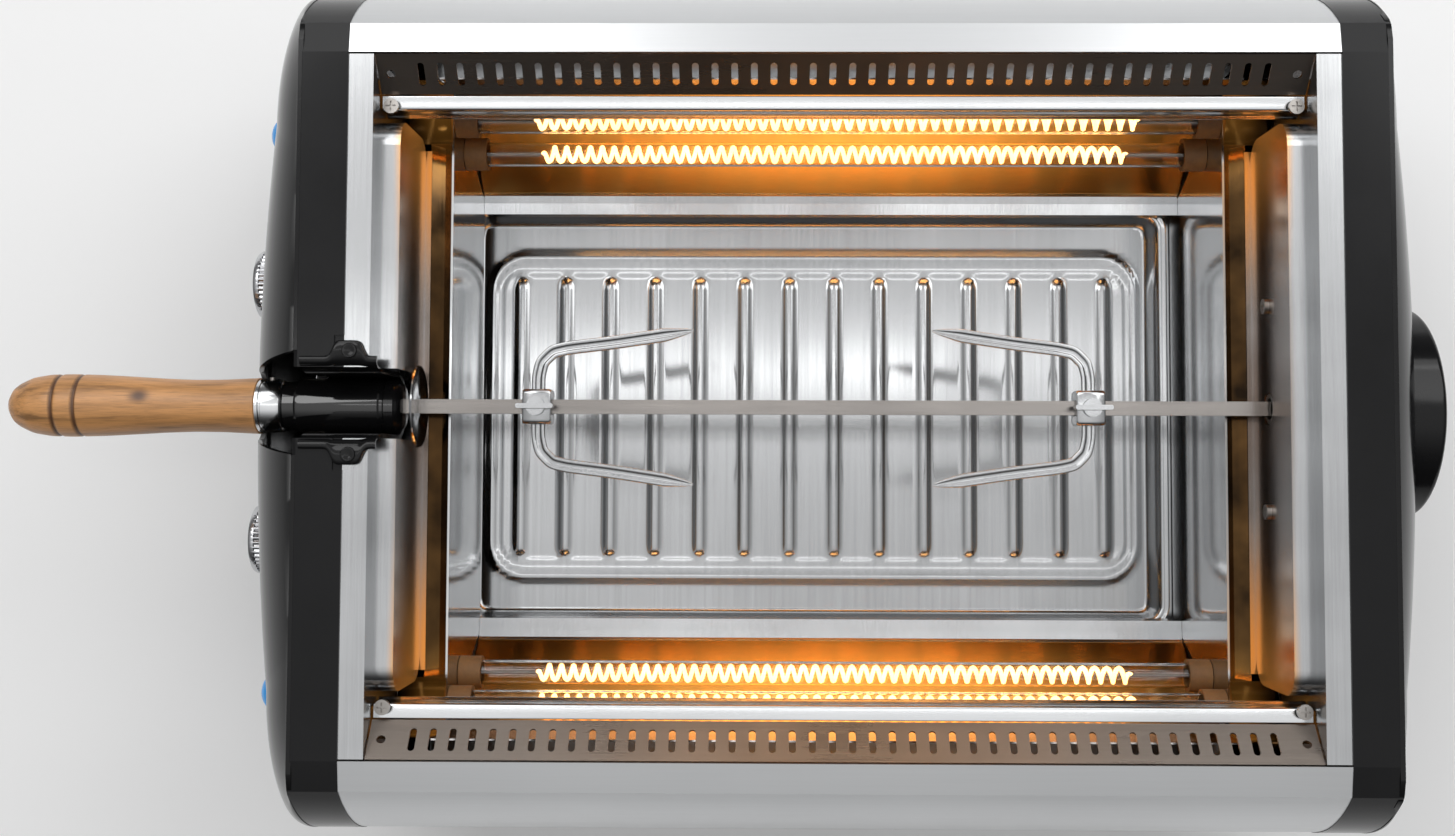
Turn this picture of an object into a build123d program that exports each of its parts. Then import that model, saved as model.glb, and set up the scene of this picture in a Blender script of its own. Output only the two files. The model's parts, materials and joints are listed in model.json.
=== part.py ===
from build123d import *
import math
import os

# Open-top rotisserie oven. +X runs along the spit towards the drive end, +Y to the rear, +Z up.
# The origin is under the middle of the whole object, on the surface that it stands on.
# Lengths along X are given from the middle of the cavity and placed by across() and along().

# Overall reach and height
handle_reach = 382.0  # tip of the wooden handle, left of the cavity's middle
cap_reach = 275.4  # face of the motor cap, right of the cavity's middle
mid = (handle_reach - cap_reach) / 2  # X of the cavity's middle
rim_z = 215.0
floor_z = 16.0  # underside of the base pan
sheet = 1.0

# Steel body
body_half = 217.0
shoulder_y = 154.0
shoulder_edge = (167.0, 213.0)
belly_y = 194.0
foot_y = 190.0

# Cavity sheet metal
liner_x = 206.0
panel_x = 196.0
panel_half_y = 127.0
panel_top, panel_bottom = 205.0, 150.0
ledge_x = 193.4
lower_wall_x = 183.0
vent_foot = (137.7, 201.0)
rail_outline = [(137.7, 201.0), (134.0, 197.0), (131.8, 192.0), (131.8, 188.0), (134.5, 188.0),
                (136.5, 192.0), (138.6, 199.0)]
screw_x_place, screw_y_place = 200.9, 132.8
slot_count, slot_pitch, slot_length, slot_width = 44, 8.67, 11.2, 3.0

# Heaters
tube_r, tube_bore = 6.0, 5.2
coil_r, coil_half = 4.6, 145.0
tube_half = 178.0
heater_places = {"lower": (128.0, 117.0), "upper": (139.0, 143.0)}

# Spit
spit_z = 173.0
rod_side = 6.5
rod_end = 207.0
journal_r = 12.7
journal_left, journal_right = -254.0, -199.6
ferrule_left = -266.0
handle_profile = [(-375.5, 9.4), (-352.0, 14.4), (-325.0, 13.3), (-296.0, 11.9)]
grooves = (-357.5, -347.5)
slot_half = 15.5
flange_half = 29.0
pivot_x = 198.0

# Drive
module, drive_teeth, pinion_teeth = 1.5, 41, 17
centre_distance = module * (drive_teeth + pinion_teeth) / 2
motor_z = spit_z - centre_distance
gear_left, gear_right = 214.0, 220.0
bracket_left, bracket_right = 222.0, 224.0
bracket_foot = 22.3
cap_r = 50.0
running = 0.05
gap = 0.3

# Ends
frame_x = 239.0
cover_wall = 2.5
knob_y, control_z, knob_r = 64.0, 101.0, 18.0
lamp_y, lamp_r = 140.0, 9.0
control_face, knob_face = -274.0, -285.0

# Drip tray
tray_left, tray_right, tray_half_y = -195.4, 178.6, 112.0
tray_rim, tray_floor = 60.0, 47.0
tray_corner = 14.0
rib_count, rib_pitch, rib_first, rib_length, rib_width = 14, 24.0, -165.0, 150.0, 7.0

os.makedirs("parts", exist_ok=True)


def across(x):
    """The plane facing +X at x from the cavity's middle."""
    return Plane.YZ.offset(mid + x)


def along(x, y):
    """A place on a horizontal plane, with x from the cavity's middle."""
    return (mid + x, y)


def write(piece, name):
    """Label a finished piece and write it as its own STEP file."""
    piece.part.label = name
    export_step(piece.part, f"parts/{name}.step")


def sides(name):
    """Front and rear copies of a name, with the sign of Y."""
    return [(f"front_{name}", -1), (f"rear_{name}", 1)]


def ends(name):
    """Left and right copies of a name, with the sign of X."""
    return [(f"left_{name}", -1), (f"right_{name}", 1)]


def rod_x(start, end, radius, y, z, mode=Mode.ADD):
    """A round bar along X, or with Mode.SUBTRACT a hole, in the current part."""
    with Locations(Location((mid + (start + end) / 2, y, z), (0, 90, 0))):
        Cylinder(radius, abs(end - start), mode=mode)


def rod_z(bottom, top, radius, x, y, mode=Mode.ADD):
    """The same standing upright, with x from the cavity's middle."""
    with Locations((mid + x, y, (bottom + top) / 2)):
        Cylinder(radius, top - bottom, mode=mode)


# Steel shells: the shoulder beside the rim, the belly and the foot

def shell_path(side):
    """The shell's section from the rim down to the base, on one side."""
    Line((side * shoulder_y, rim_z), (side * shoulder_edge[0], shoulder_edge[1]))
    ThreePointArc((side * shoulder_edge[0], shoulder_edge[1]), (side * 187, 181.6), (side * belly_y, 145))
    Line((side * belly_y, 145), (side * belly_y, 90))
    ThreePointArc((side * belly_y, 90), (side * 193, 53), (side * foot_y, floor_z))


for name, side in sides("shell"):
    with BuildPart() as shell:
        with BuildSketch(across(-body_half)):
            with BuildLine():
                shell_path(side)
            trace(line_width=sheet)
        extrude(amount=2 * body_half)
    write(shell, name)

# Base pan with turned-up edges, and the feet under it
with BuildPart() as base_pan:
    with BuildSketch(Plane.XY.offset(floor_z)):
        with Locations(along(0, 0)):
            Rectangle(2 * body_half - 4, 2 * foot_y - 8)
    extrude(amount=12)
    with BuildSketch(Plane.XY.offset(floor_z + 1.5)):
        with Locations(along(0, 0)):
            Rectangle(2 * body_half - 7, 2 * foot_y - 11)
    extrude(amount=12, mode=Mode.SUBTRACT)
write(base_pan, "base_pan")

with BuildPart() as rubber_feet:
    with BuildSketch(Plane.XY):
        with Locations(along(0, 0)):
            with GridLocations(370, 300, 2, 2):
                Circle(13)
    extrude(amount=floor_z, taper=-6)
write(rubber_feet, "rubber_feet")


# Black ends: one volume, cut at the parting line into a frame and a cover

def end_plan(side, reach, inset):
    """Plan of one end, a shallow bow with rounded corners."""
    bow, out = reach - 9.5, reach - inset
    corner, knee = belly_y + 1.6 - inset, 160 - inset / 2
    root = mid + side * (bow - 32)
    Polyline((root, -corner), (mid, -corner), (mid, corner), (root, corner))
    for y in (-1, 1):
        ThreePointArc((root, y * corner), (mid + side * (bow - 9 - inset * 0.7), y * (184 - inset * 0.7)),
                      (mid + side * (bow - inset), y * knee))
    ThreePointArc((mid + side * (bow - inset), -knee), (mid + side * out, 0), (mid + side * (bow - inset), knee))


def end_side(side, reach, inset):
    """Side view of one end, falling outwards from the rim."""
    x = mid + side * (reach - inset)
    top, bottom = rim_z + 1.6 - inset, floor_z - 2 + inset
    Polyline((x - side * 14, bottom), (mid, bottom), (mid, top), (mid + side * 236, top))
    ThreePointArc((mid + side * 236, top), (x - side * 17, 196), (x - side * 5, 155))
    ThreePointArc((x - side * 5, 155), (x - side * 0.8, 118), (x, 80))
    Line((x, 80), (x - side * 1, 32))
    ThreePointArc((x - side * 1, 32), (x - side * 5, 20), (x - side * 14, bottom))


def end_volume(side, reach, inset, start, end):
    """The end's solid between two places along X, drawn in by inset all round."""
    low, high = min(side * start, side * end), max(side * start, side * end)
    with BuildPart() as volume:
        with BuildSketch(across(low)):
            with BuildLine():
                shell_path(-1)
                shell_path(1)
                Line((-shoulder_y, rim_z), (shoulder_y, rim_z))
                Line((-foot_y, floor_z), (foot_y, floor_z))
            make_face()
            offset(amount=0.8 - inset, kind=Kind.INTERSECTION, mode=Mode.REPLACE)
        extrude(amount=high - low)
        with BuildSketch(Plane.XY):
            with BuildLine():
                end_plan(side, reach, inset)
            make_face()
        extrude(amount=240, mode=Mode.INTERSECT)
        with BuildSketch(Plane.XZ.offset(-210)):
            with BuildLine():
                end_side(side, reach, inset)
            make_face()
        extrude(amount=420, mode=Mode.INTERSECT)
    return volume


def spit_slot():
    """Upright slot that the handle and journal drop into, drawn on a plane facing X."""
    with Locations((0, spit_z - slot_half + 50)):
        SlotOverall(100, 2 * slot_half, rotation=90)


end_reach = {"left": 274.0, "right": 269.0}
for name, side in ends("end_frame"):
    reach = end_reach[name.split("_")[0]]
    outer = end_volume(side, reach, 0, body_half, frame_x)
    inner = end_volume(side, reach, 6, body_half - 1, frame_x + 1)
    with BuildPart() as end_frame:
        add(outer.part)
        add(inner.part, mode=Mode.SUBTRACT)
        if side < 0:
            with BuildSketch(across(-frame_x - 1)):
                spit_slot()
            extrude(amount=24, mode=Mode.SUBTRACT)
            with Locations((mid - 217, 0, rim_z + 2)):
                Box(8.4, 2 * flange_half + 0.6, 4.2, mode=Mode.SUBTRACT)
    write(end_frame, name)

for name, side in ends("end_cover"):
    reach = end_reach[name.split("_")[0]]
    outer = end_volume(side, reach, 0, frame_x, reach + 5)
    inner = end_volume(side, reach, cover_wall, frame_x - 1, reach + 5)
    with BuildPart() as end_cover:
        add(outer.part)
        add(inner.part, mode=Mode.SUBTRACT)
        if side < 0:
            for y in (-1, 1):
                rod_x(-reach - 5, -reach + 30, 6, y * knob_y, control_z, Mode.SUBTRACT)
                rod_x(-reach - 5, -reach + 30, lamp_r + 0.1, y * lamp_y, control_z, Mode.SUBTRACT)
            with Locations((mid - reach, 0, (tray_rim + 40) / 2)):
                Box(60, 2 * tray_half_y + 5, tray_rim - 34, mode=Mode.SUBTRACT)
            with BuildSketch(across(-reach - 10)):
                spit_slot()
            extrude(amount=60, mode=Mode.SUBTRACT)
        else:
            rod_x(frame_x, reach + 10, cap_r + 0.2, 0, motor_z, Mode.SUBTRACT)
            rod_x(frame_x + 10, reach + 10, 8, 128, 46, Mode.SUBTRACT)
            for y in (-155, 155):
                rod_x(frame_x + 10, reach + 10, 2.1, y, 145, Mode.SUBTRACT)
    write(end_cover, name)


# Cavity: side liners with a raised panel, lower walls, vent panels, rails and reflectors

for name, side in ends("side_liner"):
    with BuildPart() as side_liner:
        with BuildSketch(Plane.XZ.offset(-shoulder_y + 0.7)):
            with BuildLine():
                Polyline(along(side * body_half, rim_z), along(side * liner_x, rim_z),
                         along(side * liner_x, panel_bottom), along(side * (liner_x + sheet), panel_bottom),
                         along(side * (liner_x + sheet), rim_z - sheet),
                         along(side * body_half, rim_z - sheet), close=True)
            make_face()
        extrude(amount=2 * shoulder_y - 1.4)
        with BuildSketch(Plane.YZ.offset(mid + side * liner_x)):
            with Locations((0, (panel_top + panel_bottom) / 2)):
                RectangleRounded(2 * panel_half_y, panel_top - panel_bottom, 12)
        extrude(amount=side * (panel_x - liner_x))
        with BuildSketch(Plane.YZ.offset(mid + side * (liner_x + sheet))):
            with Locations((0, (panel_top + panel_bottom) / 2)):
                RectangleRounded(2 * panel_half_y - 2, panel_top - panel_bottom - 2, 11)
        extrude(amount=side * (panel_x - liner_x), mode=Mode.SUBTRACT)
        with BuildSketch(Plane.XY.offset(panel_bottom - sheet)):
            with Locations(along(side * (ledge_x + liner_x + sheet) / 2, 0)):
                Rectangle(liner_x + sheet - ledge_x, 2 * panel_half_y - 8)
        extrude(amount=sheet)
        if side < 0:
            with BuildSketch(across(-body_half - 1)):
                spit_slot()
            extrude(amount=25, mode=Mode.SUBTRACT)
        else:
            rod_x(panel_x - 5, panel_x + 5, 7.3, 0, spit_z, Mode.SUBTRACT)
            for y in (-47, 47):
                rod_x(panel_x - 5, panel_x + 5, 2, y, spit_z, Mode.SUBTRACT)
    write(side_liner, name)

reflector_path = [(149.0, 186.0), (151.5, 160.0), (150.5, 140.0), (116.0, 66.0), (106.0, 64.0)]

for name, side in ends("lower_wall"):
    wall_foot = 64.0 if side < 0 else 48.0
    with BuildPart() as lower_wall:
        with BuildSketch(Plane.YZ.offset(mid + side * lower_wall_x)):
            with BuildLine():
                Polyline((-140, panel_bottom - 1), (-138, 120), (-114.5, 66), (-114.5, wall_foot),
                         (114.5, wall_foot), (114.5, 66), (138, 120), (140, panel_bottom - 1), close=True)
            make_face()
        extrude(amount=side * sheet)
    write(lower_wall, name)

for name, side in sides("vent_panel"):
    slope = math.atan2(rim_z - vent_foot[1], shoulder_y - vent_foot[0])
    slope_length = math.hypot(rim_z - vent_foot[1], shoulder_y - vent_foot[0])
    middle = (mid, side * (shoulder_y + vent_foot[0]) / 2, (rim_z + vent_foot[1]) / 2)
    face = Plane(origin=middle, x_dir=(1, 0, 0), z_dir=(0, -side * math.sin(slope), math.cos(slope)))
    with BuildPart() as vent_panel:
        with BuildSketch(face):
            Rectangle(2 * liner_x - 1, slope_length - 1.6)
            with GridLocations(slot_pitch, 0, slot_count, 1):
                SlotOverall(slot_length, slot_width, rotation=90, mode=Mode.SUBTRACT)
            with GridLocations(400, 0, 2, 1):
                Circle(2, mode=Mode.SUBTRACT)
        extrude(amount=-sheet)
    write(vent_panel, name)

for name, side in sides("rail"):
    with BuildPart() as rail:
        with BuildSketch(across(-liner_x + 0.5)):
            with BuildLine():
                Polyline([(side * y, z) for y, z in rail_outline], close=True)
            make_face()
        extrude(amount=2 * liner_x - 1)
        for x in (-screw_x_place, screw_x_place):
            with Locations((mid + x, side * (screw_y_place + 0.5), vent_foot[1] + 0.3)):
                Box(9, 9, sheet)
            rod_z(190, 205, 1.5, x, side * screw_y_place, Mode.SUBTRACT)
    write(rail, name)

for name, side in sides("reflector"):
    points = [(side * y, z) for y, z in reflector_path]
    with BuildPart() as reflector:
        with BuildSketch(across(-lower_wall_x)):
            with BuildLine():
                FilletPolyline(*points, radius=3)
            trace(line_width=0.8)
        extrude(amount=2 * lower_wall_x)
    write(reflector, name)

# Heaters: quartz tubes, the coils inside them and the ceramic holders
for name, side in sides("quartz_tubes"):
    with BuildPart() as quartz_tubes:
        for y, z in heater_places.values():
            rod_x(-tube_half, tube_half, tube_r, side * y, z)
            rod_x(-tube_half, tube_half, tube_bore, side * y, z, Mode.SUBTRACT)
    write(quartz_tubes, name)

for name, side in sides("heating_coils"):
    with BuildPart() as heating_coils:
        for y, z in heater_places.values():
            rod_x(-coil_half, coil_half, coil_r, side * y, z)
            rod_x(-tube_half, tube_half, 0.6, side * y, z)
    write(heating_coils, name)

with BuildPart() as ceramic_holders:
    for end in (-1, 1):
        for side in (-1, 1):
            for y, z in heater_places.values():
                near, far = sorted((end * (tube_half - 6), end * (lower_wall_x - 0.2)))
                rod_x(near, far, 8, side * y, z)
                near, far = sorted((end * (tube_half - 7), end * tube_half))
                rod_x(near, far, tube_r + running, side * y, z, Mode.SUBTRACT)
write(ceramic_holders, "ceramic_holders")

# Saddle that the spit's journal lies in, with its two screws
with BuildPart() as spit_saddle:
    with BuildSketch(across(-236)):
        with Locations((0, spit_z)):
            Circle(slot_half - 0.2)
        with Locations((0, (spit_z + rim_z + 3) / 2)):
            Rectangle(2 * slot_half - 0.4, rim_z + 3 - spit_z)
    extrude(amount=33)
    with Locations((mid - 215, 0, rim_z + 1.5)):
        Box(12, 2 * flange_half, 3)
    rod_x(-240, -200, journal_r + gap, 0, spit_z, Mode.SUBTRACT)
    with Locations((mid - 220, 0, spit_z + 30)):
        Box(40, 2 * (journal_r + gap), 60, mode=Mode.SUBTRACT)
    for y in (-23, 23):
        rod_z(rim_z - 1, rim_z + 4, 1.45, -214, y, Mode.SUBTRACT)
write(spit_saddle, "spit_saddle")


def screw_x(head, tip, y, z, head_r=3.5, shank_r=1.6):
    """A pan-head screw along X with a crossed slot, its head at head."""
    turn = 1 if tip > head else -1
    rod_x(head, head + turn * 2, head_r, y, z)
    rod_x(head + turn * 2, tip, shank_r, y, z)
    with Locations((mid + head, y, z)):
        Box(1.8, 1.3 * head_r, 0.8, mode=Mode.SUBTRACT)
        Box(1.8, 0.8, 1.3 * head_r, mode=Mode.SUBTRACT)


def screw_z(x, y, head, tip, head_r=3.0, shank_r=1.4):
    """The same screw standing on end, its head at the top."""
    rod_z(head - 2, head, head_r, x, y)
    rod_z(tip, head - 2, shank_r, x, y)
    with Locations((mid + x, y, head)):
        Box(1.3 * head_r, 0.8, 1.8, mode=Mode.SUBTRACT)
        Box(0.8, 1.3 * head_r, 1.8, mode=Mode.SUBTRACT)


with BuildPart() as saddle_screws:
    for y in (-23, 23):
        screw_z(-214, y, rim_z + 5, rim_z)
write(saddle_screws, "saddle_screws")

with BuildPart() as rail_screws:
    for x in (-screw_x_place, screw_x_place):
        for y in (-screw_y_place, screw_y_place):
            screw_z(x, y, vent_foot[1] + 2.8, 194, head_r=3.4)
write(rail_screws, "rail_screws")

with BuildPart() as bracket_screws:
    for y in (-47, 47):
        screw_x(panel_x - 2, panel_x + 8, y, spit_z)
write(bracket_screws, "bracket_screws")

with BuildPart() as cover_screws:
    for y in (-155, 155):
        screw_x(264.2, 250, y, 145, head_r=5.2, shank_r=2)
write(cover_screws, "cover_screws")

# Drive end: bracket, motor and the round cap over it
with BuildPart() as motor_bracket:
    with BuildSketch(across(bracket_left)):
        with Locations((0, (bracket_foot + 196) / 2)):
            Rectangle(116, 196 - bracket_foot)
        with Locations((0, spit_z)):
            Circle(4 + running, mode=Mode.SUBTRACT)
        with Locations((0, motor_z)):
            Circle(4.5, mode=Mode.SUBTRACT)
    extrude(amount=bracket_right - bracket_left)
    for y in (-47, 47):
        rod_x(panel_x + 1.02, bracket_left, 4, y, spit_z)
        rod_x(panel_x, panel_x + 12, 1.62, y, spit_z, Mode.SUBTRACT)
write(motor_bracket, "motor_bracket")

with BuildPart() as gear_motor:
    with BuildSketch(across(bracket_right)):
        with Locations((0, motor_z)):
            Rectangle(64, 52)
    extrude(amount=12)
    rod_x(bracket_right + 12, 262, 25, 0, motor_z)
    rod_x(bracket_right - 1, bracket_right + 8, 3 + running, 0, motor_z, Mode.SUBTRACT)
write(gear_motor, "gear_motor")

with BuildPart() as motor_cap:
    rod_x(249, cap_reach, cap_r, 0, motor_z)
    fillet(motor_cap.faces().sort_by(Axis.X)[-1].edges(), radius=2.5)
    rod_x(248, cap_reach - 2.5, cap_r - 3, 0, motor_z, Mode.SUBTRACT)
write(motor_cap, "motor_cap")

# Control end: timer, thermostat, knobs and pilot lamps
for name, y in (("timer_unit", -knob_y), ("thermostat_unit", knob_y)):
    with BuildPart() as unit:
        with BuildSketch(across(-266)):
            with Locations((y, control_z)):
                RectangleRounded(46, 44, 4)
        extrude(amount=30)
        rod_x(control_face + 0.4, -266, 5.5, y, control_z)
        rod_x(control_face - 1, -256, 3 + running, y, control_z, Mode.SUBTRACT)
    write(unit, name)

for name, y in (("timer_shaft", -knob_y), ("heat_shaft", knob_y)):
    with BuildPart() as control_shaft:
        rod_x(knob_face + 4, -256.5, 3, y, control_z)
    write(control_shaft, name)

for name, y in (("timer_knob", -knob_y), ("heat_knob", knob_y)):
    with BuildPart() as knob:
        rod_x(knob_face, control_face - 0.7, knob_r, y, control_z)
        fillet(knob.faces().sort_by(Axis.X)[0].edges(), radius=1.5)
        with BuildSketch(across(knob_face)):
            with Locations((y, control_z)):
                Rectangle(4, 2 * knob_r - 6)
        extrude(amount=-4)
        rod_x(knob_face + 4, control_face, 3, y, control_z, Mode.SUBTRACT)
    write(knob, name)

with BuildPart() as pilot_lenses:
    for y in (-lamp_y, lamp_y):
        rod_x(-276, -262, lamp_r, y, control_z)
        with Locations(Location((mid - 276, y, control_z))):
            Sphere(lamp_r)
        rod_x(-268, -260, 7, y, control_z, Mode.SUBTRACT)
write(pilot_lenses, "pilot_lenses")

with BuildPart() as lamp_holders:
    for y in (-lamp_y, lamp_y):
        rod_x(-266, -244, 6.5, y, control_z)
write(lamp_holders, "lamp_holders")

# Mains side: cord gland in the right cover and the terminal block inside
with BuildPart() as cord_gland:
    rod_x(256, 274, 7.6, 128, 46)
    rod_x(265.5, 269, 10.5, 128, 46)
    rod_x(250, 280, 3.6, 128, 46, Mode.SUBTRACT)
write(cord_gland, "cord_gland")

with BuildPart() as terminal_block:
    with BuildSketch(Plane.XY.offset(floor_z + 7)):
        with Locations(along(229, 110)):
            Rectangle(16, 44)
    extrude(amount=16)
    with BuildSketch(Plane.XY.offset(floor_z + 23)):
        with Locations(along(229, 110)):
            with GridLocations(0, 14, 1, 3):
                Circle(3)
    extrude(amount=-9, mode=Mode.SUBTRACT)
write(terminal_block, "terminal_block")

# Drip tray on its two runners, with a lip that passes through the left cover
with BuildPart() as tray_runners:
    for side in (-1, 1):
        with BuildSketch(across(-180)):
            with BuildLine():
                foot, top = floor_z + 1.5, tray_floor - 1 - gap
                Polyline((side * 104, foot), (side * 104, top), (side * 94, top), (side * 94, top - 1.2),
                         (side * 102.8, top - 1.2), (side * 102.8, foot), close=True)
            make_face()
        extrude(amount=350)
write(tray_runners, "tray_runners")

tray_mid = (tray_left + tray_right) / 2
tray_length = tray_right - tray_left
with BuildPart() as drip_tray:
    with BuildSketch(Plane.XY.offset(tray_floor - 1)):
        with Locations(along(tray_mid, 0)):
            RectangleRounded(tray_length - 14, 2 * tray_half_y - 14, tray_corner)
    extrude(amount=tray_rim - tray_floor + 1, taper=-16)
    with BuildSketch(Plane.XY.offset(tray_rim - 1)):
        with Locations(along(tray_mid, 0)):
            RectangleRounded(tray_length, 2 * tray_half_y, tray_corner)
    extrude(amount=1)
    with BuildSketch(Plane.XY.offset(tray_floor)):
        with Locations(along(tray_mid, 0)):
            RectangleRounded(tray_length - 16, 2 * tray_half_y - 16, tray_corner - 1)
    extrude(amount=20, taper=-16, mode=Mode.SUBTRACT)
    with BuildSketch(Plane.XY.offset(tray_floor)):
        for count in range(rib_count):
            with Locations(along(rib_first + count * rib_pitch, 0)):
                SlotOverall(rib_length, rib_width, rotation=90)
    extrude(amount=1.8)
    with BuildSketch(Plane.XY.offset(tray_rim - 1)):
        with Locations(along((tray_left - 280) / 2, 0)):
            Rectangle(tray_left + 282, 150)
    extrude(amount=1)
write(drip_tray, "drip_tray")

with BuildPart() as tray_handle:
    with BuildSketch(Plane.XZ.offset(-60)):
        with Locations(along(-282, 54)):
            RectangleRounded(12, 16, 3)
    extrude(amount=120)
    with BuildSketch(Plane.XY.offset(tray_rim - 1)):
        with Locations(along(-275, 0)):
            Rectangle(20, 160)
    extrude(amount=1, mode=Mode.SUBTRACT)
write(tray_handle, "tray_handle")

# Spit: bush, square rod, journal, heat disc, ferrule and turned handle
with BuildPart() as spit_bush:
    rod_x(196.5, 199.5, 6.8, 0, spit_z)
    rod_x(196, 200, 4.95, 0, spit_z, Mode.SUBTRACT)
write(spit_bush, "spit_bush")

with BuildPart() as spit_rod:
    with BuildSketch(across(journal_right)):
        with Locations((0, spit_z)):
            Rectangle(rod_side, rod_side)
    extrude(amount=rod_end - journal_right)
    chamfer(spit_rod.faces().sort_by(Axis.X)[-1].edges(), length=1)
write(spit_rod, "spit_rod")

with BuildPart() as spit_journal:
    rod_x(journal_left, journal_right, journal_r, 0, spit_z)
    chamfer(spit_journal.faces().sort_by(Axis.X)[-1].edges(), length=2)
write(spit_journal, "spit_journal")

with BuildPart() as heat_disc:
    rod_x(-193.8, -192.4, 19, 0, spit_z)
    with BuildSketch(across(-194)):
        with Locations((0, spit_z)):
            Rectangle(rod_side, rod_side)
    extrude(amount=2, mode=Mode.SUBTRACT)
write(heat_disc, "heat_disc")

with BuildPart() as handle_ferrule:
    rod_x(ferrule_left, journal_left, 12.3, 0, spit_z)
    rod_x(ferrule_left - 1, journal_left - 1, 11, 0, spit_z, Mode.SUBTRACT)
    with Locations(Location((mid - 260, 12, spit_z + 2), (90, 0, 0))):
        Cylinder(1.4, 6, mode=Mode.SUBTRACT)
write(handle_ferrule, "handle_ferrule")

with BuildPart() as ferrule_pin:
    with Locations(Location((mid - 260, 12, spit_z + 2), (90, 0, 0))):
        Cylinder(1.38, 1.9)
write(ferrule_pin, "ferrule_pin")

with BuildPart() as wood_handle:
    with BuildSketch(Plane.XZ):
        with BuildLine():
            tip, neck = along(-handle_reach, spit_z), along(ferrule_left, spit_z + 12.9)
            profile = [along(x, spit_z + r) for x, r in handle_profile]
            Spline(tip, *profile, neck, tangents=[(0, 1), (1, 0.06)])
            Polyline(neck, along(ferrule_left, spit_z + 11), along(journal_left - 1, spit_z + 11),
                     along(journal_left - 1, spit_z), tip)
        make_face()
    revolve(axis=Axis((0, 0, spit_z), (1, 0, 0)))
    for groove in grooves:
        with BuildSketch(Plane.XZ):
            with Locations(along(groove, spit_z + 14.8)):
                Circle(0.9)
        revolve(axis=Axis((0, 0, spit_z), (1, 0, 0)), mode=Mode.SUBTRACT)
write(wood_handle, "wood_handle")


# Meat forks: a stamped plate with two tines, a hub on the rod and a thumbscrew

def fork(hub_x, turn):
    """One fork; turn is the way its tines point along X."""
    with BuildPart() as meat_fork:
        with BuildSketch(Plane.XY.offset(spit_z - 1.2)):
            with BuildLine():
                Polyline(along(hub_x - turn * 3, -18), along(hub_x - turn * 3, 18), along(hub_x + turn * 1, 27),
                         along(hub_x + turn * 12, 30), along(hub_x + turn * 66, 36),
                         along(hub_x + turn * 74, 36.6), along(hub_x + turn * 66, 32),
                         along(hub_x + turn * 14, 24), along(hub_x + turn * 7, 20), along(hub_x + turn * 4, 14),
                         along(hub_x + turn * 4, -14), along(hub_x + turn * 7, -20),
                         along(hub_x + turn * 14, -24), along(hub_x + turn * 66, -32),
                         along(hub_x + turn * 74, -36.6), along(hub_x + turn * 66, -36),
                         along(hub_x + turn * 12, -30), along(hub_x + turn * 1, -27), close=True)
            make_face()
        extrude(amount=2.4)
        with BuildSketch(Plane.XY.offset(spit_z - 7)):
            with Locations(along(hub_x, 0)):
                RectangleRounded(13, 16, 2)
        extrude(amount=14)
        with BuildSketch(across(hub_x - 20)):
            with Locations((0, spit_z)):
                Rectangle(rod_side + 2 * gap, rod_side + 2 * gap)
        extrude(amount=40, mode=Mode.SUBTRACT)
        with BuildSketch(Plane.XY.offset(spit_z)):
            with Locations(along(hub_x, 0)):
                Circle(2.2)
        extrude(amount=12, mode=Mode.SUBTRACT)
    return meat_fork


def thumbscrew(hub_x):
    """Winged screw standing in the fork's hub, clear of the rod."""
    with BuildPart() as screw:
        with BuildSketch(Plane.XY.offset(spit_z + rod_side / 2 + gap)):
            with Locations(along(hub_x, 0)):
                Circle(1.9)
        extrude(amount=5)
        with BuildSketch(Plane.XY.offset(spit_z + 7.4)):
            with Locations(along(hub_x, 0)):
                Circle(4.2)
        extrude(amount=4)
        with BuildSketch(Plane.XY.offset(spit_z + 9)):
            with Locations(along(hub_x, 0)):
                SlotOverall(17, 2.2)
        extrude(amount=6)
    return screw


fork_places = {"left": (-138.0, 1), "right": (114.0, -1)}
for name, (hub_x, turn) in fork_places.items():
    write(fork(hub_x, turn), f"{name}_fork")
    write(thumbscrew(hub_x), f"{name}_thumbscrew")


# Drive train: the socket turns the spit, driven by a gear from the motor's pinion

def gear_outline(teeth, first_angle):
    """A spur gear's outline; each flank follows its involute. Angles are in degrees."""
    pressure = math.radians(20)
    thinning = 0.25
    pitch_r = module * teeth / 2
    base_r = pitch_r * math.cos(pressure)
    root_r, tip_r = pitch_r - 1.25 * module, pitch_r + module
    half_tooth = (math.pi * module / 2 - thinning) / (2 * pitch_r) + math.tan(pressure) - pressure
    flank = []
    for step in range(6):
        radius = max(base_r, root_r) + (tip_r - max(base_r, root_r)) * step / 5
        angle = math.acos(min(1, base_r / radius))
        flank.append((radius, half_tooth - (math.tan(angle) - angle)))
    if root_r < base_r:
        flank.insert(0, (root_r, flank[0][1]))
    points = []
    for tooth in range(teeth):
        centre = math.radians(first_angle) + 2 * math.pi * tooth / teeth
        turned = [(r, centre - a) for r, a in flank] + [(r, centre + a) for r, a in reversed(flank)]
        points += [(r * math.cos(a), r * math.sin(a)) for r, a in turned]
    return points


def gear(teeth, first_angle, z, bore):
    """A spur gear about X with its axis at height z."""
    with BuildPart() as wheel:
        with BuildSketch(across(gear_left)):
            with BuildLine():
                Polyline([(y, z + up) for y, up in gear_outline(teeth, first_angle)], close=True)
            make_face()
            with Locations((0, z)):
                Circle(bore, mode=Mode.SUBTRACT)
        extrude(amount=gear_right - gear_left)
    return wheel


with BuildPart() as drive_socket:
    rod_x(201, gear_left, 8.5, 0, spit_z)
    rod_x(gear_left, bracket_right + 3, 4, 0, spit_z)
    with BuildSketch(across(200)):
        with Locations((0, spit_z)):
            Rectangle(9.4, 9.4)
    extrude(amount=11, mode=Mode.SUBTRACT)
write(drive_socket, "drive_socket")

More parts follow.
